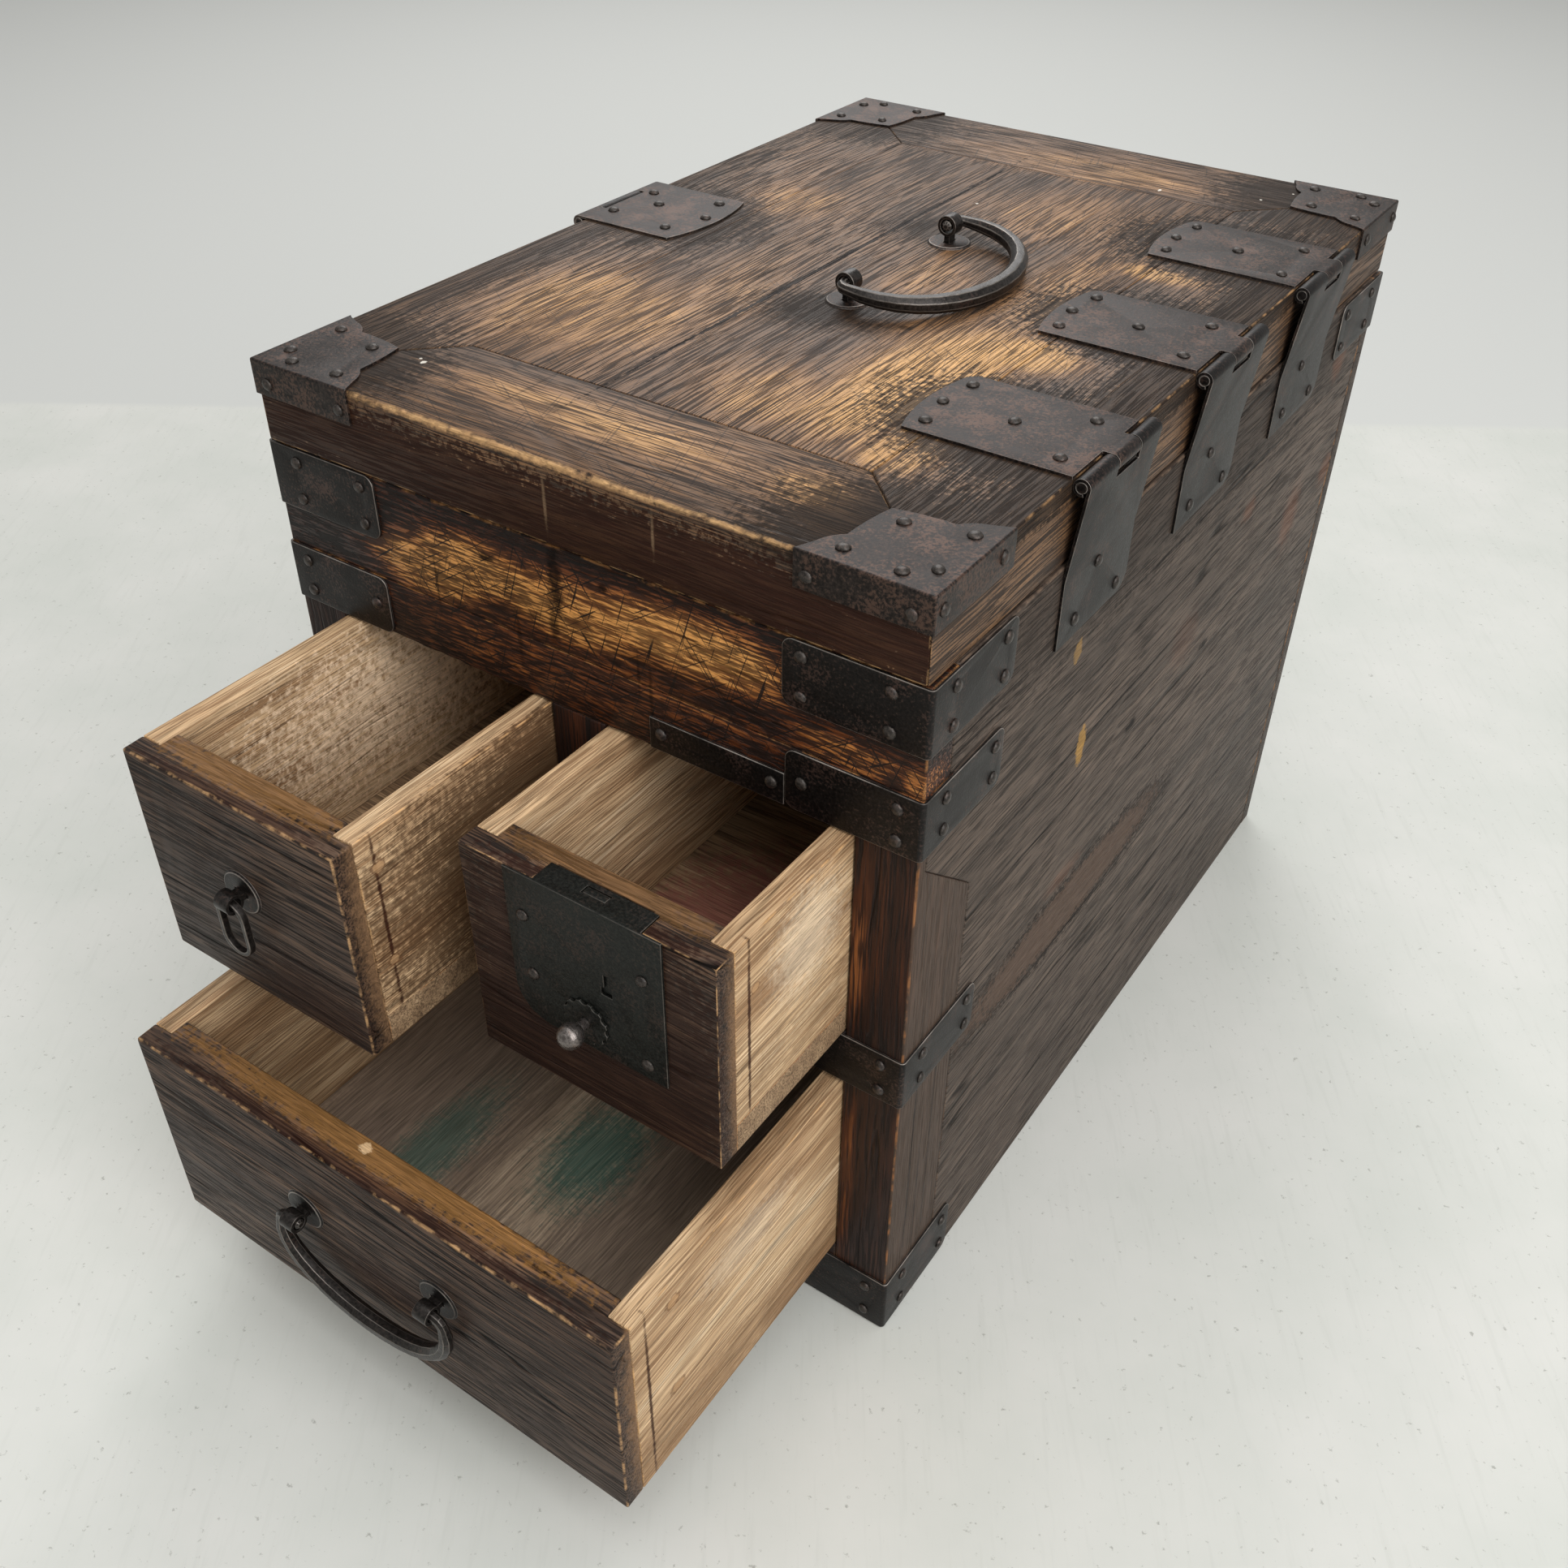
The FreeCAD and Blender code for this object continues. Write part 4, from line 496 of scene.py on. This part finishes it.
# ---------------------------------------------------------------- plain wood inside
# Paulownia boards left bare: pale, open grained and silky, striped by wide growth bands and
# greyed by dust. The drawer sides, the floors and the case's inner boards are cut from it.
inner_tones = [(0.0, "#3d2c1f"), (0.35, "#5f4733"), (0.7, "#86694c"), (1.0, "#a68763")]
inner_wood = seasoned_wood("dusty_paulownia_case", "y", inner_tones, worn=0.5, rings=(500, 9, 0.6),
                           pores=(40, 0.9, 0.35, 0.53), clouds=0.35, cracks=0.2)
for node in ("bottom_board", "drawer_shelf", "drawer_partition", "compartment_floor",
             "drawer_runners"):
    finished(node, inner_wood, 0.4)
# The back is a plain cedar board, dull and brown under its dust.
back_wood = seasoned_wood("smoked_cedar_back", "x", [
    (0.0, "#1d1612"), (0.4, "#3a2e27"), (0.75, "#4d4037"), (1.0, "#635347")], worn=0.45,
    rings=(500, 8, 0.5), pores=(30, 0.9, 0.5, 0.53), clouds=0.35, cracks=0.6)
finished("back_board", back_wood, 0.8)


# ---------------------------------------------------------------- lid: frame and panels
# A mitre-cornered zelkova frame round two long boards, rubbed golden where hands and papers
# passed and still dark round the ironwork, which kept the polish from wearing.
TOP_Z = 350.5  # the lid's upper face
# where the wood is rubbed bright: each place's centre, half sizes in mm and strength
LID_WEAR = [((62, -85, TOP_Z), (34, 70, 30), 0.55), ((84, -42, TOP_Z), (24, 18, 30), 0.6),
            ((60, 20, TOP_Z), (18, 60, 30), 0.30), ((88, 58, TOP_Z), (24, 10, 30), 0.45),
            ((84, -134, TOP_Z), (20, 22, 30), 0.5), ((30, -120, TOP_Z), (40, 30, 30), 0.32),
            ((-72, -100, TOP_Z), (52, 48, 30), 0.36), ((-40, -70, TOP_Z), (30, 70, 30), 0.2),
            ((-80, 48, TOP_Z), (26, 26, 30), 0.26), ((5, 164, TOP_Z), (78, 22, 30), 0.36),
            ((30, 100, TOP_Z), (46, 40, 30), 0.24), ((-10, -172, TOP_Z), (86, 16, 30), 0.38),
            ((74, -170, TOP_Z), (22, 14, 30), 0.45), ((18, 2, TOP_Z), (22, 26, 30), 0.22)]
LID_STAINS = [
    # polish kept dark round the plates, the leaves and the handle's washers
    ("#201914", 0.95, [((-5, 50, TOP_Z), (32, 20, 9), 0.75), ((-3, -50, TOP_Z), (34, 20, 9), 0.9),
                       ((116, -99, TOP_Z), (62, 42, 9), 0.9, 0.82, 1.08),
                       ((116, 4, TOP_Z), (62, 38, 9), 0.9, 0.82, 1.08),
                       ((116, 100, TOP_Z), (66, 42, 9), 0.9, 0.82, 1.08),
                       ((136, -20, TOP_Z), (24, 240, 9), 0.85, 0.75, 1.1),
                       ((-136, -40, TOP_Z), (22, 210, 9), 0.6, 0.6, 1.15),
                       ((-115, 3, TOP_Z), (48, 44, 9), 0.75, 0.75, 1.1),
                       ((122, -186, TOP_Z), (62, 48, 9), 0.85, 0.75, 1.1),
                       ((-124, -182, TOP_Z), (48, 44, 9), 0.8, 0.75, 1.12),
                       ((120, 180, TOP_Z), (58, 54, 9), 0.8, 0.75, 1.12),
                       ((-122, 180, TOP_Z), (52, 50, 9), 0.75, 0.75, 1.12)]),
    # the gap between the two boards
    ("#120906", 0.95, [((-24.4, -4, TOP_Z), (1.1, 154, 5), 1.0, 0.85, 1.1)]),
    # scuffs and a groove that the handle's end has worn
    ("#1a1512", 0.75, [((-44, 14, TOP_Z), (1.4, 12, 5), 0.9),
                       ((-44.5, -10, TOP_Z), (1.4, 15, 5), 0.9),
                       ((-39, -30, TOP_Z), (1.6, 9, 5), 0.9),
                       ((8, 168, TOP_Z), (9, 7, 5), 0.7),
                       ((34, -46, TOP_Z), (3.5, 2.5, 5), 0.9),
                       ((-27, -171, TOP_Z), (6, 1.4, 5), 1.0),
                       ((-43.6, -160, TOP_Z), (0.7, 30, 5), 0.5),
                       ((10, 146, TOP_Z), (50, 0.9, 5), 0.6)]),
    # spots of whitewash
    ("#e4ded2", 0.90, [((-88, -171, TOP_Z), (1.2, 1.5, 2), 1.0, 0.6, 1.0),
                       ((-91, -169, TOP_Z), (0.8, 0.8, 2), 1.0, 0.6, 1.0),
                       ((46, 156, TOP_Z), (0.8, 1.8, 2), 1.0, 0.6, 1.0),
                       ((-12, 92, TOP_Z), (0.9, 0.9, 2), 1.0, 0.6, 1.0),
                       ((88, 170, TOP_Z), (0.8, 0.9, 2), 1.0, 0.6, 1.0),
                       ((97, 186, TOP_Z), (0.7, 0.7, 2), 1.0, 0.6, 1.0)]),
]
LID_TONES = [(0.0, "#2d2119"), (0.35, "#503b2b"), (0.68, "#825f3f"), (1.0, "#c2935a")]
lid_wood_long = seasoned_wood(
    "rubbed_zelkova_lid_long", "y", LID_TONES, worn=0.40, wear=LID_WEAR, rings=(360, 3, 0.18),
    pores=(34, 0.7, 0.85, 0.50), soot="#1d1510", clouds=0.3, cracks=0.35, scratches=("z", 0.5),
    stains=LID_STAINS, arris="#8f6d4a", rough=0.5, sheen=0.32, seed=0.13)
# The rails are the same wood across, with a smoked front edge, two pale scores and a worn arris.
LID_EDGE_STAINS = [
    ("#2b150d", 0.86, [((0, -206, 330), (400, 4, 19), 1.0, 0.9, 1.02)]),
    ("#8d745a", 0.55, [((-5, -204.5, 336), (0.8, 2, 11), 0.9),
                       ((39, -204.5, 338), (0.7, 2, 9), 0.9)]),
    ("#c0976a", 0.9, [((-20, -204.5, 350.6), (96, 2.6, 2.4), 1.0),
                      ((70, -204.5, 350.6), (40, 2.2, 1.6), 0.9)]),
]
lid_wood_cross = seasoned_wood(
    "rubbed_zelkova_lid_cross", "x", LID_TONES, worn=0.36, wear=LID_WEAR, rings=(360, 3, 0.18),
    pores=(26, 0.7, 0.85, 0.50), soot="#1d1510", clouds=0.3, cracks=0.35, scratches=("z", 0.5),
    stains=LID_STAINS + LID_EDGE_STAINS, arris="#c19a6c", rough=0.5, sheen=0.32, seed=0.57)
LID_FRAME = ("lid_stile_left", "lid_stile_right", "lid_front_rail", "lid_rear_rail")
for node in ("lid_stile_left", "lid_stile_right", "lid_panels"):
    finished(node, lid_wood_long, 0.35 if node == "lid_panels" else 0.8, among=LID_FRAME)
lid_front = finished("lid_front_rail", lid_wood_cross, 1.0, among=LID_FRAME)
finished("lid_rear_rail", lid_wood_cross, 0.8, among=LID_FRAME)
chip_arris(lid_front, arris_y=-203.8, arris_z=TOP_Z, into_z=-1, depth=2.8, reach=1.5, seed=2.0)


# ---------------------------------------------------------------- drawers
# Each drawer has a smoked zelkova front, rubbed to orange wood along its top, let on to bare
# paulownia sides, with a board across behind; pegs hold the sides and a thick floor closes it.
# The fronts' upper edges are rubbed behind, lacquered dark in front, and split along the grain.
FRONT_MARKS = [((-4, -323, 136), (112, 11, 3.4), 0.30, 0.8, 1.1),
               ((-64, -295, 254), (52, 10, 3), 0.25, 0.8, 1.1),
               ((64, -265, 254), (50, 9, 2.6), 0.2, 0.8, 1.1)]
RUBBED_TOPS = [((-4, -322, 136), (116, 8.6, 1.6), 1.0, 0.8, 1.1),
               ((-64, -294, 254), (54, 8.6, 1.6), 0.8, 0.8, 1.1),
               ((64, -264, 254), (52, 8.2, 1.6), 0.5, 0.8, 1.1)]
DARK_TOPS = [((0, -333, 135.6), (116, 4.2, 1.6), 0.8, 0.6, 1.1),
             ((-64, -304, 253.6), (54, 3.4, 1.6), 0.7, 0.6, 1.1),
             ((64, -274, 253.6), (54, 3.6, 1.6), 0.8, 0.6, 1.1)]
SPLITS = [((-64, -306, height), (54, 3, 0.55), 1.0, 0.3, 1.2)
          for height in (244, 234, 223, 207, 192, 171)]
SPLITS += [((0, -335, height), (118, 3, 0.6), 1.0, 0.3, 1.2)
           for height in (124, 116, 104, 93, 79, 66, 49)]
SPLITS += [((64, -276.5, height), (54, 3, 0.5), 0.8, 0.3, 1.2) for height in (238, 211, 186, 172)]
END_FACES = [((-12.7, -295, 208), (2.5, 8.5, 70), 0.9), ((114.7, -265, 208), (2.5, 8, 70), 0.9),
             ((114.7, -324, 86), (2.5, 8.5, 70), 0.9)]
drawer_wood = seasoned_wood("smoked_zelkova_drawer", "x", [
    (0.0, "#150e0a"), (0.35, "#3a2b22"), (0.60, "#614a39"), (0.85, "#7d5a3c"), (1.0, "#a97f54")],
    worn=0.36, wear=FRONT_MARKS, rings=(420, 4, 0.34), pores=(24, 0.8, 0.8, 0.51), clouds=0.24,
    cracks=1.0,
    stains=[("#8b6b4e", 0.8, END_FACES), ("#8f6636", 0.62, RUBBED_TOPS),
            ("#2b130c", 0.75, DARK_TOPS),
            ("#d8b68c", 0.8, [((-6, -323, 135.4), (2.8, 2.2, 1.5), 1.0, 0.8, 1.1)]),
            ("#0e0806", 0.85, SPLITS),
            ("#2c1710", 0.55, [((64, -280, 190), (60, 14, 90), 1.0, 0.9, 1.1),
                               ((-40, -307, 176), (40, 6, 20), 0.8),
                               ((10, -337, 78), (34, 6, 16), 0.7)])],
    arris="#b18b62", rough=0.5, seed=0.77)
# The sides' outer faces: the left drawer's right one, and the right and the wide drawer's.
LEFT_SIDE, RIGHT_SIDE = -12.7, 114.7
PALE_TONES = [(0.0, "#6e5138"), (0.3, "#9c7a58"), (0.65, "#c9a983"), (1.0, "#e6cfae")]
PEGS = [((RIGHT_SIDE, -304.5, 124), (4, 4.2, 3.4), 1.0, 0.9, 1.05),
        ((RIGHT_SIDE, -304.5, 74), (4, 4.2, 3.4), 1.0, 0.9, 1.05),
        ((RIGHT_SIDE, -256.8, 230), (4, 2.4, 2.6), 1.0, 0.8, 1.05),
        ((LEFT_SIDE, -288.9, 238), (4, 3.4, 3.2), 1.0, 0.9, 1.05),
        ((LEFT_SIDE, -289.8, 197), (4, 3, 2.6), 1.0, 0.9, 1.05)]
PEG_ENDS = [(centre, [0.75 * half for half in halves], strength, 0.8, 1.0)
            for centre, halves, strength, *soft in PEGS]
SIDE_MARKS_SHADE_AND_LIGHT = [
    # painted shade where the left drawer's side faces its neighbour; the other sides darker
    # towards their lower edges
    ("#4a3220", 0.72, [((LEFT_SIDE, -120, 208), (3, 190, 60), 1.0, 0.8, 1.2)]),
    ("#7a5c3f", 0.5, [((RIGHT_SIDE, -190, 188), (3, 90, 16), 0.8),
                      ((RIGHT_SIDE, -240, 50), (3, 110, 14), 0.8)]),
    # a painted pool of light on the left drawer's inner left wall, and paler where the surface has
    # flaked
    ("#f6d8b6", 0.85, [((-98, -180, 215), (9, 130, 50), 1.0, 0.8, 1.2)]),
    ("#e9d6bb", 0.5, [((RIGHT_SIDE, -228, 228), (3, 22, 24), 0.9),
                      ((RIGHT_SIDE, -262, 110), (3, 30, 14), 0.6)]),
    # the dark joint behind each front
    ("#32160d", 0.9, [((RIGHT_SIDE, -260.3, 215), (3, 0.9, 60), 1.0),
                      ((LEFT_SIDE, -290.1, 215), (3, 0.9, 60), 1.0),
                      ((RIGHT_SIDE, -319.1, 86), (3, 0.9, 60), 1.0)]),
    # pegs: a dark rim round a pale end
    ("#6b4a30", 0.55, PEGS), ("#b8926a", 0.7, PEG_ENDS),
]
side_paulownia = seasoned_wood(
    "bare_paulownia_side", "y", PALE_TONES, worn=0.5, rings=(600, 9, 0.5),
    pores=(46, 0.7, 0.4, 0.51), soot="#6b4d33", clouds=0.45, cracks=0.4, relief=0.7, rough=0.6,
    stains=SIDE_MARKS_SHADE_AND_LIGHT, arris="#c79c6b")
across_paulownia = seasoned_wood(
    "bare_paulownia_across", "x", PALE_TONES, worn=0.5, rings=(600, 8, 0.7),
    pores=(46, 1.0, 0.25, 0.53), clouds=0.25, cracks=0.22, relief=0.5, rough=0.6,
    arris="#b08a5e", seed=0.21)
# The wide drawer's floor is greyed by handling, with green copper stains and a pink one.
floor_paulownia = seasoned_wood("handled_paulownia_floor", "y", [
    (0.0, "#6c5a4b"), (0.35, "#927f6c"), (0.7, "#b49e86"), (1.0, "#cfbba1")], worn=0.5,
    rings=(600, 10, 0.6), pores=(46, 1.0, 0.25, 0.53), clouds=0.3, cracks=0.3, relief=0.4,
    rough=0.6,
    stains=[("#857569", 0.6, [((-70, -240, 43), (46, 120, 6), 1.0, 0.6, 1.2),
                              ((52, -240, 43), (36, 120, 6), 0.8, 0.6, 1.1)]),
            ("#857870", 0.6, [((-5, -298, 43), (36, 26, 6), 1.0, 0.5, 1.2)]),
            ("#3f6f64", 0.75, [((-48, -262, 43), (15, 46, 6), 0.8),
                               ((10, -226, 43), (22, 34, 6), 1.0)]),
            ("#a07a70", 0.4, [((4, -300, 43), (26, 18, 6), 0.9)])],
    seed=0.43)
# The small drawers' floors are browner, and the right one has a red stain of seal ink.
end_grain = seasoned_wood("end_grain_paulownia_base", "x", [
    (0.0, "#5f4b39"), (0.4, "#83694f"), (0.75, "#a08566"), (1.0, "#bca182")], worn=0.5,
    rings=(600, 6, 0.5), pores=(40, 0.8, 0.4, 0.53), clouds=0.4, cracks=0.3, relief=0.6,
    rough=0.65, stains=[("#8f5850", 0.72, [((64, -220, 175.2), (42, 70, 1.5), 1.0, 0.7, 1.3)])])
# each drawer's upper front arris: its Y and Z
FRONT_SPOTS = {"left": (-306.3, 253.2), "right": (-276.5, 253.2), "wide": (-335.3, 135.2)}
for drawer, (front_y, top_z) in FRONT_SPOTS.items():
    box = ("drawer_%s_front" % drawer, "drawer_%s_sides" % drawer)
    drawer_front = finished(box[0], drawer_wood, 0.9, among=box)
    chip_arris(drawer_front, front_y, top_z, into_z=-1, depth=0.8, reach=1.4, seed=front_y)
    finished(box[1], side_paulownia, 0.6, among=box)
    finished("drawer_%s_back" % drawer, across_paulownia, 0.6)
    finished("drawer_%s_base" % drawer, floor_paulownia if drawer == "wide" else end_grain, 0.3)


# ---------------------------------------------------------------- sheet ironwork
# Straps, corner plates and strap hinges cut and bent from hammered sheet, blackened with
# lacquer over the fire, gone brown with fine rust and rubbed grey along their edges. The lid's
# plates lie flat under dust and damp, so they are the most rusted.
def blackened_iron(name, black="#0e0c0b", grey="#241f1d", rust="#54413a", rusty=0.42,
                   edge="#b0a79f", rough=0.46, hammer=9.0, metal=0.65):
    """Iron under a worn black skin: rust clouds 14 mm wide, grit under 1 mm, hammer marks 9 mm."""
    material, tree = new_material(name)
    place = add(tree, "TexCoord", out=3)
    clouds = add(tree, "TexNoise", place, 0.0, 70.0, 6.0, 0.62)
    grit = add(tree, "TexNoise", place, 0.0, 900.0, 3.0, 0.65)
    colour = add(tree, "ValToRGB", grit, stops=[(0.36, black), (0.68, grey)])
    share = add(tree, "Math", grit, 1.1, clouds, operation="MULTIPLY_ADD")
    share = add(tree, "MapRange", share, 1.25 - 0.35 * rusty, 1.45 - 0.35 * rusty, 0.0, 0.75)
    colour = add(tree, "Mix", share, named={6: colour, 7: linear(rust)}, out=2, data_type="RGBA")
    rub = add(tree, "Math", clouds, 2.2, -0.6, operation="MULTIPLY_ADD", use_clamp=True)
    rub = add(tree, "Math", rub, add(tree, "Attribute", out=2, attribute_name="arris"),
              operation="MULTIPLY")
    colour = add(tree, "Mix", rub, named={6: colour, 7: linear(edge)}, out=2, data_type="RGBA")
    blows = add(tree, "TexVoronoi", place, None, 1000 / hammer, feature="SMOOTH_F1")
    level = add(tree, "Math", grit, 0.5, blows, operation="MULTIPLY_ADD")
    bump = add(tree, "Bump", named={"Height": level, "Strength": 0.4, "Distance": 0.0006})
    gloss = add(tree, "Math", grit, 0.3, rough - 0.15, operation="MULTIPLY_ADD")
    shader = add(tree, "BsdfPrincipled", named={"Base Color": colour, "Metallic": metal,
                                                "Roughness": gloss, "Normal": bump})
    add(tree, "OutputMaterial", shader)
    return material


plate_iron = blackened_iron("lacquered_sheet_iron")
for node in ("corner_plates", "front_straps", "striker_plate", "hinge_case_leaves", "hasp",
             "hinge_pins", "hasp_pin", "hasp_staple", "pull_washers", "ring_washer"):
    finished(node, plate_iron, 0.35)
lid_iron = blackened_iron("rust_brown_lid_iron", black="#181311", grey="#403733",
                          rust="#60493e", rusty=0.6, rough=0.5)
for node in ("lid_corner_plates", "hinge_lid_leaves", "hasp_leaf", "lid_handle_washers"):
    finished(node, lid_iron, 0.35)


# ---------------------------------------------------------------- forged nails
# Hand forged nails hold the ironwork: each head is a low dome left by the hammer, a little
# out of round, over a square shank that the wood hides.
def dome_head():
    """A low dome 5 mm across on the floor at the origin, drawn in from its foot."""
    bpy.ops.object.select_all(action="DESELECT")
    bpy.ops.mesh.primitive_circle_add(vertices=10, radius=2.5 * MM, fill_type="NGON")
    bpy.ops.object.mode_set(mode="EDIT")
    bpy.ops.mesh.select_all(action="SELECT")
    for rise, shrink in ((0.55, 0.96), (0.55, 0.78), (0.35, 0.55)):
        bpy.ops.mesh.extrude_region_move(TRANSFORM_OT_translate={"value": (0, 0, rise * MM)})
        bpy.ops.transform.resize(value=(shrink, shrink, 1), center_override=(0, 0, 0))
    bpy.ops.mesh.select_all(action="SELECT")
    bpy.ops.mesh.normals_make_consistent(inside=False)
    bpy.ops.object.mode_set(mode="OBJECT")
    bpy.ops.object.shade_smooth()
    return bpy.context.object


HEAD_HIGH = 1.5


def nail_places(node):
    """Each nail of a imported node: its head's foot and the way it points out."""
    whole = merged_copy(node, "loose_" + node)
    corners = [corner.co.copy() for corner in whole.data.vertices]
    group = list(range(len(corners)))

    def root(number):
        while group[number] != number:
            group[number] = group[group[number]]
            number = group[number]
        return number

    for edge in whole.data.edges:
        first, second = edge.vertices
        group[root(first)] = root(second)
    nails = {}
    for number, corner in enumerate(corners):
        nails.setdefault(root(number), []).append(corner)
    bpy.data.objects.remove(whole)
    # a nail's two furthest corners are on its head and at its tip, and most corners are the head's
    places = []
    for nail in nails.values():
        top, tip = max(((a, b) for a in nail for b in nail),
                       key=lambda pair: (pair[0] - pair[1]).length)
        middle = sum(nail, Vector()) / len(nail)
        if (top - middle).length > (tip - middle).length:
            top, tip = tip, top
        out = (top - tip).normalized()
        places.append((top - out * HEAD_HIGH * MM, out))
    return sorted(places, key=lambda place: tuple(place[0]))


# Their crowns are rubbed greyer than the plates that they hold.
nail_iron = blackened_iron("hammered_nail_iron", black="#26221f", grey="#4a433e", rusty=0.35,
                           rough=0.4, hammer=3.0, metal=0.5)
for node in ("case_nails", "lid_nails", "lock_nails"):
    pattern = dome_head()
    heads = []
    for number, (foot, out) in enumerate(nail_places(node)):
        head = pattern.copy()
        head.data = pattern.data.copy()
        bpy.context.scene.collection.objects.link(head)
        # each head sits at its own turn and is a little out of round
        turn = Matrix.Rotation(number * 1.9, 4, "Z")
        squash = Matrix.Diagonal((1.0, 0.92 + 0.08 * math.sin(number * 2.3), 0.95, 1.0))
        head.data.transform(Matrix.Translation(foot - out * 0.1 * MM)
                            @ out.to_track_quat("Z", "Y").to_matrix().to_4x4() @ turn @ squash)
        heads.append(head)
    bpy.data.objects.remove(pattern)
    only(heads[0])
    for head in heads:
        head.select_set(True)
    bpy.ops.object.join()
    heads = bpy.context.object
    heads.name = "domed_" + node
    heads.data.materials.append(nail_iron)
    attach(heads, BODY_OF[node])
    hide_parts(node)


# ---------------------------------------------------------------- handles and their eyes
# Bails, the ring and the split-pin eyes they hang in are forged from bar, hammered eight sided
# and polished by hands to a dull brown-black with bright ridges.
bar_iron = blackened_iron("hand_polished_bar_iron", black="#1b1816", grey="#3a3532",
                          rust="#4a352e", rusty=0.25, edge="#8f877f", rough=0.34, hammer=5.0,
                          metal=0.6)
for node in ("lid_handle", "drawer_pull", "ring"):
    finished(node, bar_iron, 0.5, 25)
for node in ("lid_handle_posts", "pull_posts", "ring_post"):
    finished(node, bar_iron, 0.25, 40)


# ---------------------------------------------------------------- drawer lock
# A sheet iron plate covers the lock's case in the right drawer's front. A turned knob on a
# scalloped rosette pulls it; the bolt rises into the rail, and the keyhole is cut through.
lock_iron = blackened_iron("green_black_lock_iron", black="#101210", grey="#292b27",
                           rust="#3f322c", rusty=0.4, edge="#6b655f", hammer=6.0)
for node in ("lock_plate", "lock_case", "lock_bolt", "knob_rosette"):
    finished(node, lock_iron, 0.3)
knob_iron = blackened_iron("bright_worn_knob_iron", black="#5c5552", grey="#8d8682",
                           rust="#5a4840", rusty=0.3, edge="#c9c3bd", rough=0.3, hammer=3.0,
                           metal=0.85)
finished("drawer_knob", knob_iron, 0.3)
